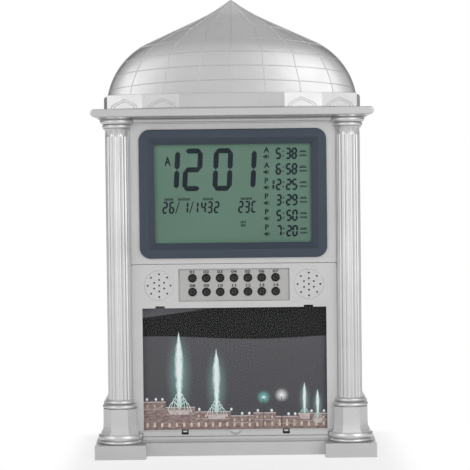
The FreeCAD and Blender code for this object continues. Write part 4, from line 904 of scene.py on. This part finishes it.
INK_LAYER = 0.00002
STONE = ((0.190, 0.130, 0.128, 1), (0.440, 0.335, 0.310, 1))
COPING = ((0.50, 0.42, 0.40, 1), (0.74, 0.66, 0.63, 1))
WINDOW_LIGHT = ((0.60, 0.44, 0.33, 1), (0.90, 0.80, 0.68, 1))
WATER = ((0.42, 0.74, 0.68, 1), (0.97, 0.98, 0.98, 1))
HOUSES = ((-0.0664, -0.0505, 0.0392, 3), (-0.0505, -0.0292, 0.0352, 4),
          (-0.0292, -0.0035, 0.0318, 5), (-0.0035, 0.0130, 0.0286, 3),
          (0.0130, 0.0292, 0.0306, 3), (0.0292, 0.0452, 0.0278, 3),
          (0.0452, 0.0664, 0.0298, 4))  # from, to, roof and windows in a row
ROOF_LIGHTS = ((-0.0640, 0.0408), (-0.0575, 0.0408), (-0.0528, 0.0408), (-0.0262, 0.0333),
               (-0.0030, 0.0331), (0.0048, 0.0300), (0.0100, 0.0300), (0.0162, 0.0320),
               (0.0262, 0.0320), (0.0384, 0.0293), (0.0432, 0.0293), (0.0550, 0.0313),
               (0.0640, 0.0313))
LAMP_LIGHT = ((0.86, 0.88, 0.90, 1), (0.98, 0.98, 0.98, 1))
JETS = ((0.20, 0.45), (0.15, 0.72), (0.10, 0.98))  # height over rise, reach over spread
JET_STEPS = 12
JET_FOOT = 0.0001
JET_STROKE = (0.11, 0.55)  # width over the spread, and its loss along the way
COPING_HEIGHT = 0.0007
BELT = (0.0006, 0.0056, 0.0052)  # in from the corner, its foot and top under the roof
DOOR = (0.30, 0.0206, 0.0032)  # share of its bay, foot and height
WINDOW = (0.0005, 0.0042, 0.0024)  # half width, its foot and top under the roof
POST_WIDTHS = (0.0006, 0.0004)
BASIN = (0.75, 1.05, 0.0035)  # foot and rim over the spread, and height
STREET_SPOT = (0.0013, 0.0010, 16)  # half width, half height and corners
ROOF_SPOT = (0.0009, 0.0011, 14)
WALL_LAYER, TRIM_LAYER, POST_LAYER, BASIN_LAYER, LIGHT_LAYER = 1, 3, 4, 5, 6
TOWN_FOOT_Z = CARD_LOW.z + 0.0004


def ink_shape(outline, layer):
    """A flat shape of ink from its outline, counter-clockwise in (x, z)."""
    bpy.ops.mesh.primitive_circle_add(vertices=len(outline), fill_type="NGON")
    shape = bpy.context.object
    for vertex, (x, z) in zip(shape.data.vertices, outline):
        vertex.co = (x, CARD_FACE_Y - layer * INK_LAYER, z)
    thicken((0, -INK_LAYER / 2, 0))
    return shape


def ink_block(x0, x1, z0, z1, layer):
    """A rectangle of ink."""
    return ink_shape(((x0, z0), (x1, z0), (x1, z1), (x0, z1)), layer)


def ink_spot(x, z, half_width, half_height, corners, layer):
    """A small oval of ink."""
    turns = [2 * pi * k / corners for k in range(corners)]
    return ink_shape([(x + half_width * cos(a), z + half_height * sin(a))
                      for a in turns], layer)


def ink_stroke(path, layer):
    """A tapering brush stroke along (x, z, width) places."""
    left, right = [], []
    for k, (x, z, width) in enumerate(path):
        before, after = path[max(k - 1, 0)], path[min(k + 1, len(path) - 1)]
        along = Vector((after[0] - before[0], after[1] - before[1])).normalized()
        left.append((x - along.y * width / 2, z + along.x * width / 2))
        right.append((x + along.y * width / 2, z - along.x * width / 2))
    return ink_shape(right + left[::-1], layer)


def ink_arch(x, z, width, height, layer):
    """A small round-headed window."""
    head = [(x + width / 2 * cos(radians(a)),
             z + height - width / 2 + width / 2 * sin(radians(a)))
            for a in range(0, 181, 30)]
    return ink_shape([(x - width / 2, z), (x + width / 2, z)] + head, layer)


def printed(name, tones, course):
    """Ink with a grain of small courses, as in a printed picture of stone or water."""
    material = moulded(name, tones, (0.45, 0.6), 3000.0, 0.00001, edge=0.0001, specular=0.12)
    tree = material.node_tree
    ramp = tree.nodes["Principled BSDF"].inputs["Base Color"].links[0].from_node
    stretched = vectors(tree, "MULTIPLY", object_place(tree), course)
    feed(tree, ramp, {"Fac": noise(tree, stretched, 1.0, detail=3.0)})
    return material


def print_layer(name, shapes, ink):
    """All the shapes of one ink as one piece on the card."""
    piece = join_as(name, shapes, ink)
    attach(piece, "case")


walls, copings, lights, posts, water, glints = [], [], [], [], [], []
for x0, x1, top, count in HOUSES:
    walls.append(ink_block(x0, x1, TOWN_FOOT_Z, top, WALL_LAYER))
    copings.append(ink_block(x0, x1, top - COPING_HEIGHT, top, TRIM_LAYER))
    copings.append(ink_block(x0 + BELT[0], x1 - BELT[0], top - BELT[1], top - BELT[2],
                             TRIM_LAYER))
    pitch = (x1 - x0) / count
    for k in range(count):
        x = x0 + (k + 0.5) * pitch
        lights.append(ink_arch(x, DOOR[1], DOOR[0] * pitch, DOOR[2], TRIM_LAYER))
        lights.append(ink_block(x - WINDOW[0], x + WINDOW[0], top - WINDOW[1], top - WINDOW[2],
                                TRIM_LAYER))
for x, z, tone in STREET_LAMPS:
    posts.append(ink_stroke([(x, CARD_LOW.z + 0.002, POST_WIDTHS[0]), (x, z, POST_WIDTHS[1])],
                            POST_LAYER))
    glints.append(ink_spot(x, z, *STREET_SPOT, LIGHT_LAYER))
for x, foot, rise, spread in FOUNTAINS:
    low, high, base = BASIN[0] * spread, BASIN[1] * spread, foot - BASIN[2]
    copings.append(ink_shape(((x - low, base), (x + low, base), (x + high, foot),
                              (x - high, foot)), BASIN_LAYER))
    for number, (top, reach) in enumerate(JETS):
        for side in (1, -1):
            arc = []
            for u in (k / JET_STEPS for k in range(JET_STEPS + 1)):
                arc.append((x + side * reach * spread * u,
                            foot + rise * top * 4.0 * u * (1.0 - u) + JET_FOOT,
                            JET_STROKE[0] * spread * (1.0 - JET_STROKE[1] * u)))
            water.append(ink_stroke(arc, LIGHT_LAYER + number + 0.5 * (side > 0)))
for x, z in ROOF_LIGHTS:
    glints.append(ink_spot(x, z, *ROOF_SPOT, LIGHT_LAYER))
print_layer("card_houses", walls, printed("stone ink", STONE, (420.0, 420.0, 900.0)))
print_layer("card_copings", copings, printed("coping ink", COPING, (500.0, 500.0, 900.0)))
print_layer("card_windows", lights, printed("window ink", WINDOW_LIGHT, (300.0, 300.0, 500.0)))
print_layer("card_lamp_posts", posts, black_plastic)
print_layer("card_lamps", glints, printed("lamp ink", LAMP_LIGHT, (300.0, 300.0, 300.0)))
print_layer("card_fountains", water, printed("water ink", WATER, (700.0, 700.0, 120.0)))

# ---- picture cover
# A clear polished cover over the card. It hangs on two pinned hooks and its two tongues click
# into the sill.

cover_plastic = clear_plastic("cover acrylic", (0.97, 0.99, 1.0, 1), (0.02, 0.07), 0.00004)
dress(cover_plastic, "clear_cover", "picture_cover")
cast_no_shadow("picture_cover")

# ---- painted glints on the cover's tongues
# A small pale pad on the end of each tongue, in its slot in the sill, is a painted highlight: it
# stands for the glint of light on the clear plastic of the tongue.

PAD_SIZE = (0.0030, 0.0003, 0.0012)
# pale tone of the painted glint
PAD_GLINT_TONES = ((0.60, 0.60, 0.60, 1), (0.72, 0.72, 0.72, 1))
PAD_RISE = 0.0004  # from the tip of the tongue
PAD_ROUNDING = 0.0001
TONGUE_X = 0.0365

pad_glint_plastic = moulded("pad painted glint", PAD_GLINT_TONES, (0.3, 0.45), **FINE_MOULDING)
bpy.ops.mesh.primitive_cube_add(size=1.0)
first_pad = bpy.context.object
set_mode("EDIT")
bpy.ops.transform.resize(value=PAD_SIZE)
bpy.ops.mesh.bevel(offset=PAD_ROUNDING, segments=2)
set_mode("OBJECT")
pads = []
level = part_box("picture_cover")[0].z + PAD_SIZE[2] / 2 + PAD_RISE
for x in (-TONGUE_X, TONGUE_X):
    face = nodes["picture_cover"].ray_cast(Vector((x, LAY_FROM_Y, level)),
                                           Vector((0.0, 1.0, 0.0)))[1]
    pads.append(place_copy(first_pad, Matrix.Translation((x, face.y - PAD_SIZE[1] / 4, level))))
bpy.data.objects.remove(first_pad)
tongue_glint_pads = join_as("cover_tongue_glint_pads", pads, pad_glint_plastic)
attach(tongue_glint_pads, "picture_cover")

# ---- floor and light
# A pale floor that fades into a white surround. Two tall soft lamps stand at the front corners
# of the studio; the surround is dimmer behind the clock and above it, in reflections alone.

WHITE = (1, 1, 1, 1)
FLOOR_COLOUR = (0.93, 0.93, 0.93, 1)
FLOOR_NEAR = (0.1012, 0.09, 1.0)  # half sizes of the patch of floor round the clock
FLOOR_FADE = 0.03  # metres over which the rest turns white
FLOOR_GLOW = 0.75  # share of white in that patch
FLOOR_SIZE = 12.0
LAMPS = (("left lamp", (-1.15, -1.04, 0.56), 0.9, 1.5, 6.6),
         ("right lamp", (0.89, -1.23, 0.66), 1.05, 1.5, 10.4))
LAMP_TARGET = (0.0, 0.0, 0.17)
SKY_LEVEL = 0.34
SKY_BEHIND, SKY_BESIDE, SKY_ABOVE = (-0.25, 0.45), (0.15, 0.6), (0.45, 0.9)  # where each fades in
DIM_BEHIND = 0.85  # loss of the surround's gloss behind the clock, to its sides
DIM_ABOVE = 0.35


def seen(tree, ray):
    """1 for what the camera, gloss and clear plastic show, 0 for what lights the clock."""
    return sums(tree, "MAXIMUM", ray["Is Camera Ray"], sums(
        tree, "MAXIMUM", ray["Is Glossy Ray"], ray["Is Transmission Ray"]))


def floor_material():
    """Plain pale floor whose far part is the white of the surround to the camera."""
    material, tree, shader = new_material("studio floor")
    feed(tree, shader, {"Base Color": FLOOR_COLOUR, "Roughness": 0.6})
    past = vectors(tree, "SUBTRACT", vectors(tree, "ABSOLUTE", object_place(tree)), FLOOR_NEAR)
    away = vectors(tree, "LENGTH", vectors(tree, "MAXIMUM", past), output="Value")
    fade = mapped(tree, away, 0.0, FLOOR_FADE, FLOOR_GLOW, 1.0, soft=True)
    ray = add_node(tree, "LightPath").outputs
    white = add_node(tree, "Emission", {}, {"Color": WHITE, "Strength": 1.0})
    mixed = add_node(tree, "MixShader", {}, {0: times(tree, fade, seen(tree, ray)),
                                             1: shader.outputs[0], 2: white.outputs[0]})
    feed(tree, tree.nodes["Material Output"], {"Surface": mixed.outputs[0]})
    return material


bpy.ops.mesh.primitive_plane_add(size=FLOOR_SIZE)
floor = bpy.context.object
floor.name = "studio_floor"
floor.data.materials.append(floor_material())

for lamp_name, lamp_place, lamp_width, lamp_height, lamp_power in LAMPS:
    bpy.ops.object.light_add(type="AREA", location=lamp_place)
    lamp = bpy.context.object
    lamp.name = lamp_name
    lamp.data.shape = "RECTANGLE"
    lamp.data.size = lamp_width
    lamp.data.size_y = lamp_height
    lamp.data.energy = lamp_power
    aim = Vector(LAMP_TARGET) - Vector(lamp_place)
    lamp.rotation_euler = aim.to_track_quat("-Z", "Y").to_euler()

world = bpy.data.worlds.new("studio")
bpy.context.scene.world = world
world.use_nodes = True
tree = world.node_tree
sky_light = tree.nodes["Background"]
feed(tree, sky_light, {"Color": WHITE, "Strength": SKY_LEVEL})
sky_ray = add_node(tree, "LightPath").outputs
sky_way = add_node(tree, "SeparateXYZ", {}, {
    0: add_node(tree, "TexCoord").outputs["Generated"]}).outputs
behind = mapped(tree, sky_way["Y"], *SKY_BEHIND, soft=True)
beside = mapped(tree, sums(tree, "ABSOLUTE", sky_way["X"]), *SKY_BESIDE, soft=True)
above = mapped(tree, sky_way["Z"], *SKY_ABOVE, soft=True)
dimming = sums(tree, "ADD", times(tree, times(tree, behind, beside), DIM_BEHIND),
               times(tree, above, DIM_ABOVE))
level = sums(tree, "SUBTRACT", 1.0, times(tree, sky_ray["Is Glossy Ray"], dimming))
surround = add_node(tree, "Background", {}, {"Color": WHITE, "Strength": level})
sky_mix = add_node(tree, "MixShader", {}, {0: seen(tree, sky_ray), 1: sky_light.outputs[0],
                                           2: surround.outputs[0]})
feed(tree, tree.nodes["World Output"], {"Surface": sky_mix.outputs[0]})

# ---- camera
# A long lens a little above the middle of the clock, tilted slightly down and rolled two thirds
# of a degree.

CAMERA_PLACE = (0.001108, -1.314, 0.19523)
CAMERA_PITCH = 1.586  # degrees down
CAMERA_ROLL = 0.66  # degrees clockwise
CAMERA_LENS = 138.3  # millimetres, over a sensor 36 wide

bpy.ops.object.camera_add()
camera = bpy.context.object
camera.matrix_world = (Matrix.Translation(CAMERA_PLACE)
                       @ Matrix.Rotation(radians(90 - CAMERA_PITCH), 4, "X")
                       @ Matrix.Rotation(radians(-CAMERA_ROLL), 4, "Z"))
camera.data.sensor_width = 36.0
camera.data.lens = CAMERA_LENS
bpy.context.scene.camera = camera
bpy.context.scene.view_settings.view_transform = "Standard"
